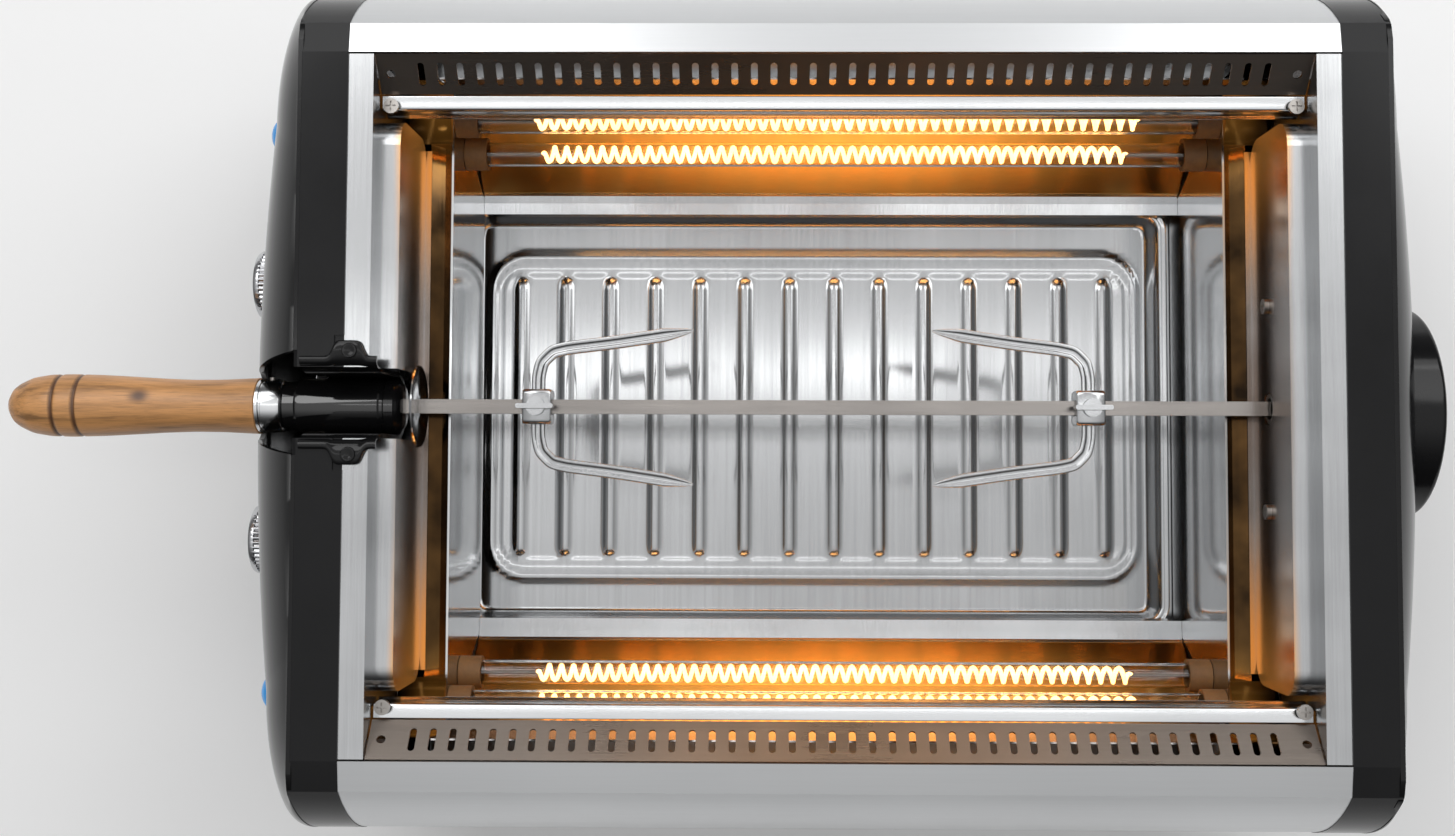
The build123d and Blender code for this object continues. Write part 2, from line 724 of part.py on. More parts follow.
write(gear(drive_teeth, -90, spit_z, 4), "drive_gear")

with BuildPart() as motor_pinion:
    add(gear(pinion_teeth, 90 + 180 / pinion_teeth, motor_z, 3).part)
    rod_x(gear_left - 1, bracket_right + 7, 3, 0, motor_z)
write(motor_pinion, "motor_pinion")
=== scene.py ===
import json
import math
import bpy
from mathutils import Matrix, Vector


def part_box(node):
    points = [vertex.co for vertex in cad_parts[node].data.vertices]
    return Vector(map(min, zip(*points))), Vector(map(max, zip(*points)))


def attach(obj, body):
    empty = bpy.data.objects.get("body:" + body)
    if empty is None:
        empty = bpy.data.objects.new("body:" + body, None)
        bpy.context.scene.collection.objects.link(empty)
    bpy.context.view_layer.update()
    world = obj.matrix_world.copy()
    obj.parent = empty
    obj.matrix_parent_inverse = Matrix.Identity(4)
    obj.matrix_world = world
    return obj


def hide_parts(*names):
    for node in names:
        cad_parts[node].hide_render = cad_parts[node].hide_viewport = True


bl_info = {
    "name": "Open Rotisserie Oven",
    "version": (1, 0, 0),
    "blender": (4, 5, 0),
    "location": "View3D > Sidebar > Oven",
    "description": "Finishes and detailed pieces for an open-top rotisserie oven",
    "category": "Object",
}

import bmesh
import bpy
import numpy as np
from bpy.props import FloatProperty, FloatVectorProperty, IntProperty, PointerProperty
from mathutils import Vector

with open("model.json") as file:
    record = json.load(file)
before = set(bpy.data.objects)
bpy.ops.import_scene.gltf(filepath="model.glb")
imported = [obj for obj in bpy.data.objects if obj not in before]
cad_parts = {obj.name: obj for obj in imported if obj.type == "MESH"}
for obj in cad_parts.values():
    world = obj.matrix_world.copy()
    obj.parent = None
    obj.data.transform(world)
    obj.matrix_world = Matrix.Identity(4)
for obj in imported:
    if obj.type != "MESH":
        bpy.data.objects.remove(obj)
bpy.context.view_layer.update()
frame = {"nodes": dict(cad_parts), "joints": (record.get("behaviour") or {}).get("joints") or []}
NODES = frame["nodes"]
MM = 0.001
VECTOR_MATHS = "ShaderNodeVectorMath"
GLOW_BREAK_UP = 0.7
MIRROR_ROUGHNESS = 0.02


def centre(node):
    """Middle of a node's box."""
    low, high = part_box(node)
    return (low + high) / 2


JOINT_AT = {joint["name"]: joint.get("pos_m", (0, 0, 0)) for joint in frame["joints"]}
SPIT_Z = JOINT_AT["spit_spin"][2]
LEFT_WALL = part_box("left_lower_wall")
RIGHT_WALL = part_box("right_lower_wall")
MID_X = (LEFT_WALL[1].x + RIGHT_WALL[0].x) / 2

# Metres. Places along X are from MID_X, the saddle's to its left; the grooves' are from the handle's tip.
GROOVES = (24.5 * MM, 34.5 * MM)
COVER_INNER = 239.1 * MM
COVER_SHEET = 2.2 * MM
COVER_CUT = (MID_X - 0.3, MID_X - 0.236)
COVER_CAP_X = 0.2572
TROUGH_RADIUS = 15.6 * MM
RAIL_HALF = 0.2052
BOWL_HALF = 0.1829
PLATE_X = (0.1836, 0.2055)
LEDGE_X = (0.1765, 0.1834)
LIP_HALF = 0.1455
COIL_RADIUS = 4.6 * MM
COIL_HALF = 145 * MM
TRAY_HALF = 187 * MM
TRAY_FLOOR = 47.4 * MM
TRAY_CORNER = 14 * MM
SADDLE_X = 0.215
SADDLE_SCREW_X = 0.214
# Millimetres, for outlines that are scaled by MM where they are used.
BOWL_SHEET = 0.8
SADDLE_BORE = 13.1
SADDLE_OUTSIDE = 15.2


# ---------------------------------------------------------------- properties

class OvenSizes(bpy.types.PropertyGroup):
    """Sizes of the detailed pieces."""
    coil_turns: IntProperty(name="Coil turns", description="Turns of wire in each heater", default=49, min=5)
    wire_radius: FloatProperty(name="Wire radius", description="Half the heater wire's thickness",
                               default=0.0011, unit="LENGTH")
    rib_height: FloatProperty(name="Rib height", description="How far the tray's ribs stand up",
                              default=0.0018, unit="LENGTH")
    tray_sheet: FloatProperty(name="Tray sheet", description="Thickness of the tray's sheet",
                              default=0.0008, unit="LENGTH")
    knurls: IntProperty(name="Knurls", description="Grooves round each knob", default=44, min=8)


class OvenColours(bpy.types.PropertyGroup):
    """Colours of the finishes."""
    steel: FloatVectorProperty(name="Steel", description="Brushed stainless steel", subtype="COLOR",
                               default=(0.62, 0.63, 0.64))
    warm_steel: FloatVectorProperty(name="Warm steel", description="Vent panels toned by heat",
                                    subtype="COLOR", default=(0.42, 0.36, 0.315))
    amber: FloatVectorProperty(name="Amber", description="Reflectors lit by the heaters", subtype="COLOR",
                               default=(0.74, 0.36, 0.09))
    black: FloatVectorProperty(name="Black", description="Black plastic ends", subtype="COLOR",
                               default=(0.0045, 0.0045, 0.0048))
    oak: FloatVectorProperty(name="Oak", description="Light wood of the handle", subtype="COLOR",
                             default=(0.6, 0.29, 0.1))
    glow: FloatVectorProperty(name="Glow", description="Hot heater wire", subtype="COLOR",
                              default=(1.0, 0.5, 0.12))


# ---------------------------------------------------------------- mesh helpers

def piece_from_grid(name, grid, wrap_u=False, wrap_v=False, cap_u=False):
    """A mesh from a grid of points, rows along u and columns along v, with optional wrapping and end caps."""
    rows, columns = grid.shape[:2]
    index = np.arange(rows * columns).reshape(rows, columns)
    u_next = np.roll(index, -1, 0) if wrap_u else index[1:]
    u_here = index if wrap_u else index[:-1]
    if wrap_v:
        quads = np.stack([u_here, u_next, np.roll(u_next, -1, 1), np.roll(u_here, -1, 1)], -1)
    else:
        quads = np.stack([u_here[:, :-1], u_next[:, :-1], u_next[:, 1:], u_here[:, 1:]], -1)
    faces = quads.reshape(-1, 4).tolist()
    if cap_u:
        faces.append(index[0].tolist())
        faces.append(index[-1][::-1].tolist())
    mesh = bpy.data.meshes.new(name)
    mesh.from_pydata(grid.reshape(-1, 3).tolist(), [], faces)
    mesh.validate()
    piece = bpy.data.objects.new(name, mesh)
    bpy.context.scene.collection.objects.link(piece)
    return piece


def outward(piece):
    """Merge doubled points and turn every face outwards."""
    shape = bmesh.new()
    shape.from_mesh(piece.data)
    bmesh.ops.remove_doubles(shape, verts=shape.verts, dist=1e-7)
    bmesh.ops.dissolve_degenerate(shape, edges=shape.edges, dist=1e-8)
    bmesh.ops.recalc_face_normals(shape, faces=shape.faces)
    shape.to_mesh(piece.data)
    shape.free()
    return piece


def smooth(piece, angle=35):
    """Smooth shading that keeps edges sharper than the angle crisp."""
    piece.data.polygons.foreach_set("use_smooth", np.ones(len(piece.data.polygons), bool))
    piece.data.set_sharp_from_angle(angle=math.radians(angle))
    return piece


def tube(name, grid, angle=35, wrap_u=False):
    """A closed smooth piece from a grid that wraps along v, and is capped or wrapped along u."""
    return smooth(outward(piece_from_grid(name, grid, wrap_u, True, not wrap_u)), angle)


def thicken(piece, thickness):
    """Give a surface a sheet's thickness, on its inner side."""
    skin = piece.modifiers.new("sheet", "SOLIDIFY")
    skin.thickness = thickness
    skin.offset = -1


def apply_modifiers(piece):
    """Replace a piece's mesh with its modified mesh."""
    graph = bpy.context.evaluated_depsgraph_get()
    mesh = bpy.data.meshes.new_from_object(piece.evaluated_get(graph))
    piece.modifiers.clear()
    piece.data = mesh


def turned(name, profile, axis_y, axis_z, segments=96, flute=None):
    """A turned piece: a profile of (x, radius) pairs carried round an axis along X.
    flute(x, angle) is an optional change of the radius over the surface."""
    profile = np.asarray(profile, float)
    angle = np.linspace(0, 2 * math.pi, segments, endpoint=False)
    x = np.repeat(profile[:, :1], segments, 1)
    radius = np.repeat(profile[:, 1:], segments, 1)
    if flute is not None:
        radius = radius + flute(x, angle[None, :])
    grid = np.stack([x, axis_y + radius * np.cos(angle), axis_z + radius * np.sin(angle)], -1)
    return tube(name, grid)


def rounded(points, radius, steps=6):
    """An outline with each corner replaced by an arc of about the given radius."""
    points = np.asarray(points, float)
    out = []
    for before, corner, after in zip(np.roll(points, 1, 0), points, np.roll(points, -1, 0)):
        to_before, to_after = before - corner, after - corner
        room = min(np.linalg.norm(to_before), np.linalg.norm(to_after)) * 0.49
        reach = min(radius, room)
        start = corner + to_before / np.linalg.norm(to_before) * reach
        end = corner + to_after / np.linalg.norm(to_after) * reach
        t = np.linspace(0, 1, steps)[:, None]
        out.append((1 - t) ** 2 * start + 2 * t * (1 - t) * corner + t ** 2 * end)
    return np.concatenate(out)


def swept(name, path, outline, scale=None, up=(0, 0, 1)):
    """A closed outline of (side, up) pairs carried along a path, kept level with the up direction."""
    path = np.asarray(path, float)
    outline = np.asarray(outline, float)
    along = np.gradient(path, axis=0)
    along /= np.linalg.norm(along, axis=1)[:, None]
    side = np.cross(along, np.asarray(up, float))
    side /= np.linalg.norm(side, axis=1)[:, None]
    top = np.cross(side, along)
    size = np.ones(len(path)) if scale is None else np.asarray(scale)
    grid = (path[:, None] + side[:, None] * (outline[None, :, :1] * size[:, None, None])
            + top[:, None] * (outline[None, :, 1:] * size[:, None, None]))
    return tube(name, grid)


def bump(value, width):
    """A smooth rise from 0 at width to 1 at zero distance."""
    t = np.clip(1 - value / width, 0, 1)
    return t * t * (3 - 2 * t)


def corner_distance(x, y, half_x, half_y, radius):
    """Distance outside a rounded rectangle's edge; negative inside."""
    qx, qy = np.abs(x) - half_x + radius, np.abs(y) - half_y + radius
    outside = np.hypot(np.maximum(qx, 0), np.maximum(qy, 0))
    return outside + np.minimum(np.maximum(qx, qy), 0) - radius


def fit(piece, body, material, slot, *nodes):
    """Give a piece its finish, its body and the CAD nodes that it stands for. The slot is not used."""
    piece.data.materials.clear()
    piece.data.materials.append(material)
    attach(piece, body)
    if nodes:
        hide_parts(*nodes)
    return piece


# ---------------------------------------------------------------- shader helpers

def feed(tree, socket, value):
    """Link an output to an input socket, or set the input's own value."""
    if isinstance(value, bpy.types.NodeSocket):
        tree.links.new(value, socket)
    else:
        socket.default_value = value


def place(tree, kind, inputs=(), **settings):
    """Add a node with its settings, and feed its inputs by name or number."""
    node = tree.nodes.new(kind)
    for key, value in settings.items():
        setattr(node, key, value)
    for key, value in dict(inputs).items():
        feed(tree, node.inputs[key], value)
    return node


def maths(tree, operation, *terms, kind="ShaderNodeMath", **settings):
    """The result of a maths node over sockets or values."""
    node = place(tree, kind, enumerate(terms), operation=operation, **settings)
    return node.outputs["Value" if operation == "LENGTH" else 0]


def ranged(tree, value, from_min, from_max, to_min, to_max, **settings):
    """A value's range carried onto another range."""
    node = place(tree, "ShaderNodeMapRange", {"Value": value, "From Min": from_min, "From Max": from_max,
                                              "To Min": to_min, "To Max": to_max}, **settings)
    return node.outputs["Result"]


def noise(tree, vector, scale, detail, roughness=0.5):
    """Noise over a vector."""
    node = place(tree, "ShaderNodeTexNoise", {"Vector": vector, "Scale": scale, "Detail": detail,
                                              "Roughness": roughness})
    return node.outputs["Fac"]


def mixed(tree, factor, first, second, blend_type="MIX"):
    """A mix of two colours by a factor."""
    node = place(tree, "ShaderNodeMix", {"Factor": factor, 6: first, 7: second}, data_type="RGBA",
                 blend_type=blend_type)
    return node.outputs[2]


def ramped(tree, value, stops):
    """A colour ramp over a value, from (place, colour) stops in rising order."""
    node = place(tree, "ShaderNodeValToRGB", {"Fac": value})
    elements = node.color_ramp.elements
    for index, (at, colour) in enumerate(stops):
        stop = elements[index] if index < 2 else elements.new(at)
        stop.position = at
        stop.color = (*colour, 1)
    return node.outputs["Color"]


def new_group(name, inputs, outputs):
    """An empty node group with named sockets, and its input and output nodes."""
    group = bpy.data.node_groups.new(name, "ShaderNodeTree")
    for label, kind, value in inputs:
        socket = group.interface.new_socket(name=label, in_out="INPUT", socket_type=kind)
        if value is not None:
            socket.default_value = value
    for label, kind in outputs:
        group.interface.new_socket(name=label, in_out="OUTPUT", socket_type=kind)
    return group, group.nodes.new("NodeGroupInput"), group.nodes.new("NodeGroupOutput")


def grain_group():
    """Fine streaks: noise stretched by a scale along each axis, crossed with a slower noise."""
    if "Metal Grain" in bpy.data.node_groups:
        return bpy.data.node_groups["Metal Grain"]
    group, start, end = new_group("Metal Grain", [("Vector", "NodeSocketVector", None),
                                                  ("Stretch", "NodeSocketVector", (20, 900, 900)),
                                                  ("Cloud Scale", "NodeSocketFloat", 9.0)],
                                  [("Streak", "NodeSocketFloat"), ("Cloud", "NodeSocketFloat")])
    vector = start.outputs["Vector"]
    stretched = maths(group, "MULTIPLY", vector, start.outputs["Stretch"], kind=VECTOR_MATHS)
    cloud = noise(group, vector, start.outputs["Cloud Scale"], 3.0)
    feed(group, end.inputs["Streak"], noise(group, stretched, 1.0, 4.0, 0.65))
    feed(group, end.inputs["Cloud"], ranged(group, cloud, 0.3, 0.7, 0.0, 1.0))
    return group


def tint_and_glow_group():
    """Mask for tints and painted heater glow: strongest at a centre, fading with scaled distance along each axis,
    broken up by noise.
    """
    if "Tint And Glow Mask" in bpy.data.node_groups:
        return bpy.data.node_groups["Tint And Glow Mask"]
    group, start, end = new_group("Tint And Glow Mask", [("Vector", "NodeSocketVector", None),
                                                ("Centre", "NodeSocketVector", (0, 0, 0)),
                                                ("Falloff", "NodeSocketVector", (4, 0, 0)),
                                                ("Break Up", "NodeSocketFloat", 0.35)],
                                  [("Mask", "NodeSocketFloat")])
    vector = start.outputs["Vector"]
    offset = maths(group, "SUBTRACT", vector, start.outputs["Centre"], kind=VECTOR_MATHS)
    scaled = maths(group, "MULTIPLY", offset, start.outputs["Falloff"], kind=VECTOR_MATHS)
    distance = maths(group, "LENGTH", scaled, kind=VECTOR_MATHS)
    fade = ranged(group, distance, 0.0, 1.0, 1.0, 0.0, interpolation_type="SMOOTHERSTEP")
    centred = maths(group, "SUBTRACT", noise(group, vector, 28.0, 4.0), 0.5)
    broken = maths(group, "ADD", maths(group, "MULTIPLY", centred, start.outputs["Break Up"]), 1.0)
    feed(group, end.inputs["Mask"], maths(group, "MULTIPLY", fade, broken, use_clamp=True))
    return group


def grain(tree, vector, stretch, cloud=9.0):
    """A Metal Grain node over a vector."""
    return place(tree, "ShaderNodeGroup", {"Vector": vector, "Stretch": stretch, "Cloud Scale": cloud},
                 node_tree=grain_group())


def tint_and_glow(tree, vector, at, falloff, break_up=0.35):
    """A mask over a vector for tints and for painted heater glow."""
    node = place(tree, "ShaderNodeGroup", {"Vector": vector, "Centre": at, "Falloff": falloff,
                                           "Break Up": break_up}, node_tree=tint_and_glow_group())
    return node.outputs["Mask"]


def new_material(name):
    """A new material, its tree, its shader and its object coordinates."""
    material = bpy.data.materials.new(name)
    material.use_nodes = True
    tree = material.node_tree
    where = tree.nodes.new("ShaderNodeTexCoord")
    return material, tree, tree.nodes["Principled BSDF"], where.outputs["Object"]


def relieve(tree, shader, height_from, height):
    """A fine bump on a shader."""
    relief = place(tree, "ShaderNodeBump", {"Strength": 1.0, "Distance": height, "Height": height_from})
    feed(tree, shader.inputs["Normal"], relief.outputs["Normal"])


def finish(name, colour, tone, metallic, rough, vary=0.1, stretch=(20, 900, 900), cloud=9.0, height=0.00002,
           specular=0.5, tints_and_painted_glows=(), streak_mix=0.5, glow=None):
    """A material with streaked colour and roughness and a fine bump. Each of the tints and painted glows is (centre,
    falloff, colour), measured from the cavity's middle and the same on both sides of it; some are the surface's own
    tint, and some paint the heaters' glow into the colour as painted light. The glow is (centre, falloff, light,
    strength), an emission that is a painted glow on surfaces that are no lamp."""
    if name in bpy.data.materials:
        return bpy.data.materials[name]
    material, tree, shader, where = new_material(name)
    shader.inputs["Metallic"].default_value = metallic
    shader.inputs["Specular IOR Level"].default_value = specular
    texture = grain(tree, where, stretch, cloud)
    streak = texture.outputs["Streak"]
    blend = place(tree, "ShaderNodeMix", {"Factor": streak_mix, 2: texture.outputs["Cloud"], 3: streak},
                  data_type="FLOAT").outputs[0]
    out = mixed(tree, blend, (*colour, 1), (*tone, 1))
    if tints_and_painted_glows or glow:
        middle = maths(tree, "SUBTRACT", where, (MID_X, 0, 0), kind=VECTOR_MATHS)
        both = maths(tree, "ABSOLUTE", middle, kind=VECTOR_MATHS)
    # Mix in each tint; the amber ones near the heaters are painted glow.
    for at, falloff, warm in tints_and_painted_glows:
        out = mixed(tree, tint_and_glow(tree, both, at, falloff), out, (*warm, 1))
    # Emission by a mask: painted glow on the steel, the lamp's own light on the pilot lens.
    if glow:
        at, falloff, light, strength = glow
        shader.inputs["Emission Strength"].default_value = strength
        mask = tint_and_glow(tree, both, at, falloff, GLOW_BREAK_UP)
        feed(tree, shader.inputs["Emission Color"], mixed(tree, mask, (0, 0, 0, 1), (*light, 1)))
    feed(tree, shader.inputs["Base Color"], out)
    feed(tree, shader.inputs["Roughness"],
         ranged(tree, blend, 0.0, 1.0, max(rough - vary, MIRROR_ROUGHNESS), rough + vary))
    if height:
        relieve(tree, shader, streak, height)
    return material


def colours():
    """The colours in the sidebar."""
    return bpy.context.scene.oven_colours


def shade(colour, factor):
    """The same colour, lighter or darker."""
    return tuple(min(1.0, channel * factor) for channel in colour)


def body_steel():
    c = colours().steel
    return finish("body steel", shade(c, 1.06), shade(c, 0.92), 1.0, 0.3, 0.03, (14, 700, 700), height=0.000006,
                  cloud=5.0)


def liner_steel():
    c, amber = colours().steel, colours().amber
    # Brown towards the middle of its upper part; the amber spot and the emission near the heaters are the heaters'
    # glow, painted light.
    return finish("liner steel", shade(c, 0.9), shade(c, 0.5), 1.0, 0.2, 0.08, (900, 18, 900), height=0.000012,
                  cloud=14.0, tints_and_painted_glows=(((0.194, 0, 0.18), (160, 7.5, 9), (0.23, 0.175, 0.14)),
                                     ((0.194, 0.125, 0.175), (150, 10, 8), amber)),
                  glow=((0.194, 0.13, 0.17), (150, 14, 14), (1.0, 0.45, 0.1), 0.14))


def mirror_steel():
    c = colours().steel
    return finish("mirror steel", shade(c, 1.1), shade(c, 0.8), 1.0, 0.11, 0.05, (600, 12, 600), height=0.000006,
                  cloud=12.0)


def tray_steel():
    c = colours().steel
    return finish("tray steel", shade(c, 0.86), shade(c, 0.5), 1.0, 0.15, 0.06, (500, 9, 500), height=0.00001,
                  cloud=7.0)


def rod_steel():
    return finish("rod steel", (0.29, 0.27, 0.255), (0.18, 0.168, 0.158), 1.0, 0.24, 0.08, (20, 500, 500),
                  height=0.00001)


def fork_steel():
    c = colours().steel
    return finish("fork steel", shade(c, 0.78), shade(c, 0.5), 1.0, 0.2, 0.07, (200, 200, 200), height=0.00001)


def bright_steel():
    c = colours().steel
    return finish("bright steel", shade(c, 1.2), shade(c, 0.9), 1.0, 0.18, 0.08, (30, 500, 500), height=0.00001)


def vent_steel():
    c = colours().warm_steel
    return finish("vent steel", shade(c, 1.15), shade(c, 0.7), 1.0, 0.3, 0.1, (10, 520, 520), height=0.00003,
                  cloud=16.0, tints_and_painted_glows=(((0, 0.145, 0.208), (5.5, 0, 0), (0.46, 0.3, 0.2)),))


def reflector_steel():
    amber = colours().amber
    # Painted light: the amber colour all over, the brighter amber spot and the emission paint the heaters' glow onto
    # the reflector; it turns grey towards its top edge.
    return finish("reflector steel", shade(amber, 0.75), shade(amber, 0.3), 1.0, 0.17, 0.07, (70, 12, 12),
                  height=0.000004, cloud=26.0, tints_and_painted_glows=(((0, 0.14, 0.13), (4.2, 0, 11), amber),
                                                      ((0, 0.15, 0.192), (0.4, 0, 36), (0.4, 0.4, 0.4))),
                  glow=((0, 0.14, 0.118), (4.6, 0, 13.5), (1.0, 0.42, 0.07), 0.85))


def wall_steel():
    """Mirror bands beside the floor: a near-black brown all over, a painted dark reflection, with a painted amber
    heater glow and emission towards the heaters.
    """
    amber = colours().amber
    return finish("wall steel", (0.02, 0.014, 0.01), (0.2, 0.105, 0.038), 1.0, 0.08, 0.04, (500, 14, 500),
                  height=0.00001, cloud=42.0, streak_mix=0.12,
                  tints_and_painted_glows=(((0.188, 0.15, 0.148), (60, 18, 30), shade(amber, 0.7)),),
                  glow=((0.188, 0.15, 0.148), (50, 22, 26), (1.0, 0.42, 0.07), 0.09))


def black_gloss():
    c = colours().black
    return finish("black gloss", c, shade(c, 1.8), 0.0, 0.13, 0.04, (400, 400, 400), cloud=26.0, height=0.000003,
                  specular=0.24)


def black_satin():
    c = colours().black
    return finish("black satin", shade(c, 1.5), shade(c, 2.4), 0.0, 0.17, 0.05, (700, 700, 700), cloud=30.0,
                  height=0.000004, specular=0.16)


def black_polish():
    c = colours().black
    return finish("black polish", c, shade(c, 1.6), 0.0, 0.09, 0.03, (300, 300, 300), cloud=40.0,
                  height=0.000002, specular=0.8)


def silver_cap():
    return finish("silver cap", (0.66, 0.67, 0.68), (0.5, 0.5, 0.52), 1.0, 0.22, 0.06, (40, 600, 600),
                  height=0.00001)


def plated_steel():
    return finish("plated steel", (0.42, 0.4, 0.38), (0.27, 0.25, 0.23), 1.0, 0.3, 0.1, (300, 300, 300),
                  cloud=60.0, height=0.00002)


def rubber():
    return finish("rubber", (0.016, 0.016, 0.017), (0.03, 0.03, 0.03), 0.0, 0.75, 0.1, (900, 900, 900),
                  cloud=80.0, height=0.00004)


def ceramic():
    return finish("ceramic", (0.13, 0.07, 0.03), (0.34, 0.17, 0.06), 0.0, 0.6, 0.1, (500, 500, 500), cloud=90.0,
                  height=0.00003)


def moulding():
    return finish("ivory moulding", (0.68, 0.66, 0.58), (0.56, 0.54, 0.47), 0.0, 0.45, 0.08, (500, 500, 500),
                  cloud=50.0, height=0.00001)


def gear_brass():
    return finish("gear brass", (0.62, 0.45, 0.18), (0.45, 0.32, 0.12), 1.0, 0.3, 0.08, (400, 400, 400),
                  cloud=70.0, height=0.00001)


def glass(name, colour, rough):
    """Clear or tinted glass with a few faint clouds in its roughness."""
    if name in bpy.data.materials:
        return bpy.data.materials[name]
    material, tree, shader, where = new_material(name)
    shader.inputs["Base Color"].default_value = (*colour, 1)
    shader.inputs["Transmission Weight"].default_value = 1.0
    shader.inputs["IOR"].default_value = 1.45
    clouds = noise(tree, where, 40.0, 3.0)
    feed(tree, shader.inputs["Roughness"], ranged(tree, clouds, 0.0, 1.0, rough * 0.6, rough * 1.6))
    return material


def blue_lens():
    return finish("blue lens", (0.03, 0.2, 0.5), (0.05, 0.28, 0.62), 0.0, 0.12, 0.04, (60, 60, 60), cloud=120.0,
                  height=0.000004, glow=((0.285, 0.14, 0.101), (30, 30, 30), (0.04, 0.22, 0.5), 0.4))


def hot_wire():
    """Glowing wire, whiter in some turns than in others."""
    if "hot wire" in bpy.data.materials:
        return bpy.data.materials["hot wire"]
    material, tree, shader, where = new_material("hot wire")
    shader.inputs["Base Color"].default_value = (0.9, 0.4, 0.1, 1)
    shader.inputs["Roughness"].default_value = 0.5
    shader.inputs["Emission Strength"].default_value = 4.5
    light = mixed(tree, noise(tree, where, 60.0, 2.0), (*colours().glow, 1), (1.0, 0.66, 0.28, 1))
    feed(tree, shader.inputs["Emission Color"], light)
    return material


def oak():
    """Light oak: long grain along X, pores, a knot and two burnt grooves."""
    if "handle oak" in bpy.data.materials:
        return bpy.data.materials["handle oak"]
    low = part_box("wood_handle")[0]
    material, tree, shader, where = new_material("handle oak")
    shader.inputs["Coat Weight"].default_value = 0.25
    shader.inputs["Coat Roughness"].default_value = 0.25
    long_grain = grain(tree, where, (14, 210, 210), 22.0).outputs["Streak"]
    pores = grain(tree, where, (90, 1500, 1500)).outputs["Streak"]
    knot = tint_and_glow(tree, where, (low.x + 0.064, 0.004, SPIT_Z + 0.012), (130, 190, 120))
    pale = colours().oak
    out = ramped(tree, long_grain, ((0.33, shade(pale, 0.42)), (0.45, shade(pale, 0.78)), (0.6, pale)))
    out = mixed(tree, 0.85, out, ranged(tree, pores, 0.25, 0.5, 0.62, 1.0), "MULTIPLY")
    out = mixed(tree, knot, out, (0.09, 0.035, 0.012, 1))
    split = place(tree, "ShaderNodeSeparateXYZ", {0: where})
    for groove in GROOVES:
        away = maths(tree, "ABSOLUTE", maths(tree, "SUBTRACT", split.outputs["X"], low.x + groove))
        out = mixed(tree, ranged(tree, away, 0.0004, 0.0016, 0.9, 0.0), out, (0.07, 0.025, 0.008, 1))
    feed(tree, shader.inputs["Base Color"], out)
    feed(tree, shader.inputs["Roughness"], ranged(tree, pores, 0.0, 1.0, 0.55, 0.36))
    relieve(tree, shader, pores, 0.00008)
    return material


# ---------------------------------------------------------------- pieces

def coat_nodes(material, *names):
    """Give CAD nodes a finish."""
    for name in names:
        node = NODES[name]
        node.data.materials.clear()
        node.data.materials.append(material)


class OVEN_OT_casing(bpy.types.Operator):
    """Finish the shells, ends, covers and everything fixed inside them"""
    bl_idname = "oven.casing"
    bl_label = "Casing"

    def execute(self, context):
        coat_nodes(body_steel(), "front_shell", "rear_shell", "base_pan")
        coat_nodes(black_satin(), "left_end_frame", "right_end_frame")
        coat_nodes(black_gloss(), "motor_cap", "tray_handle", "cord_gland")
        coat_nodes(plated_steel(), "rail_screws", "bracket_screws", "motor_bracket", "gear_motor", "tray_runners",
                   "drive_socket", "spit_bush", "timer_shaft", "heat_shaft")
        coat_nodes(gear_brass(), "drive_gear", "motor_pinion")
        coat_nodes(moulding(), "timer_unit", "thermostat_unit", "terminal_block", "lamp_holders")
        coat_nodes(rubber(), "rubber_feet")
        return {"FINISHED"}


def arc(start, middle, end, steps):
    """Points on the circle through three points, from the first to the last."""
    a, b, c = (complex(*p) for p in (start, middle, end))
    w = (c - a) / (b - a)
    centre_at = (b - a) * (w - abs(w) ** 2) / (w - w.conjugate()) + a
    first, mid, last = (np.angle(p - centre_at) for p in (a, b, c))
    first, mid, last = np.unwrap([first, mid, last])
    angle = np.linspace(first, last, steps)
    points = centre_at + abs(a - centre_at) * np.exp(1j * angle)
    return np.stack([points.real, points.imag], -1)


def end_depth(z):
    """Half depth of the casing's section at a height: upright belly, drawn in over the shoulder."""
    path = np.concatenate([[(154.5, 217.0), (168.0, 213.6)], arc((168.0, 213.6), (188.0, 182.0), (194.7, 145), 14),
                           [(194.7, 90)], arc((194.7, 90), (193.9, 53), (191.0, 14), 6)])[::-1]
    return np.interp(z, path[:, 1] * MM, path[:, 0] * MM)


def end_cover(side, reach):
    """Surface of a moulded end. Each height of its side line carries a plan made of a shallow bow
    and, at both ends, a quarter of an ellipse that meets the flat inner plane."""
    inner = COVER_INNER
    line = np.concatenate([[(inner / MM, 215.7)],
                           arc((reach - 36, 215.6), (reach - 17, 196), (reach - 5, 155), 26),
                           arc((reach - 5, 155), (reach - 0.8, 118), (reach, 80), 12)[1:],
                           np.linspace((reach, 76), (reach - 1, 32), 8),
                           arc((reach - 1, 32), (reach - 5, 20), (reach - 14, 14.4), 8)[1:],
                           [(reach - 20, 14.4)]]) * MM
    out, z = line[:, :1], line[:, 1:]
    half = end_depth(z)
    corner, bow = 60 * MM, 13 * MM
    face = np.linspace(-1, 1, 131)
    quarter = np.linspace(0, math.pi / 2, 22)[1:]
    flat_y = face * (half - corner)
    flat_x = out - bow * (flat_y / (190 * MM)) ** 2
    edge = flat_x[:, -1:]
    turn_x = inner + np.maximum(edge - inner, 0) * np.cos(quarter)
    turn_y = half - corner + corner * np.sin(quarter)
    x = np.maximum(np.concatenate([turn_x[:, ::-1], flat_x, turn_x], 1), inner)
    y = np.concatenate([-turn_y[:, ::-1], flat_y, turn_y], 1)
    return np.stack([MID_X + side * x, y, np.broadcast_to(z, x.shape)], -1)


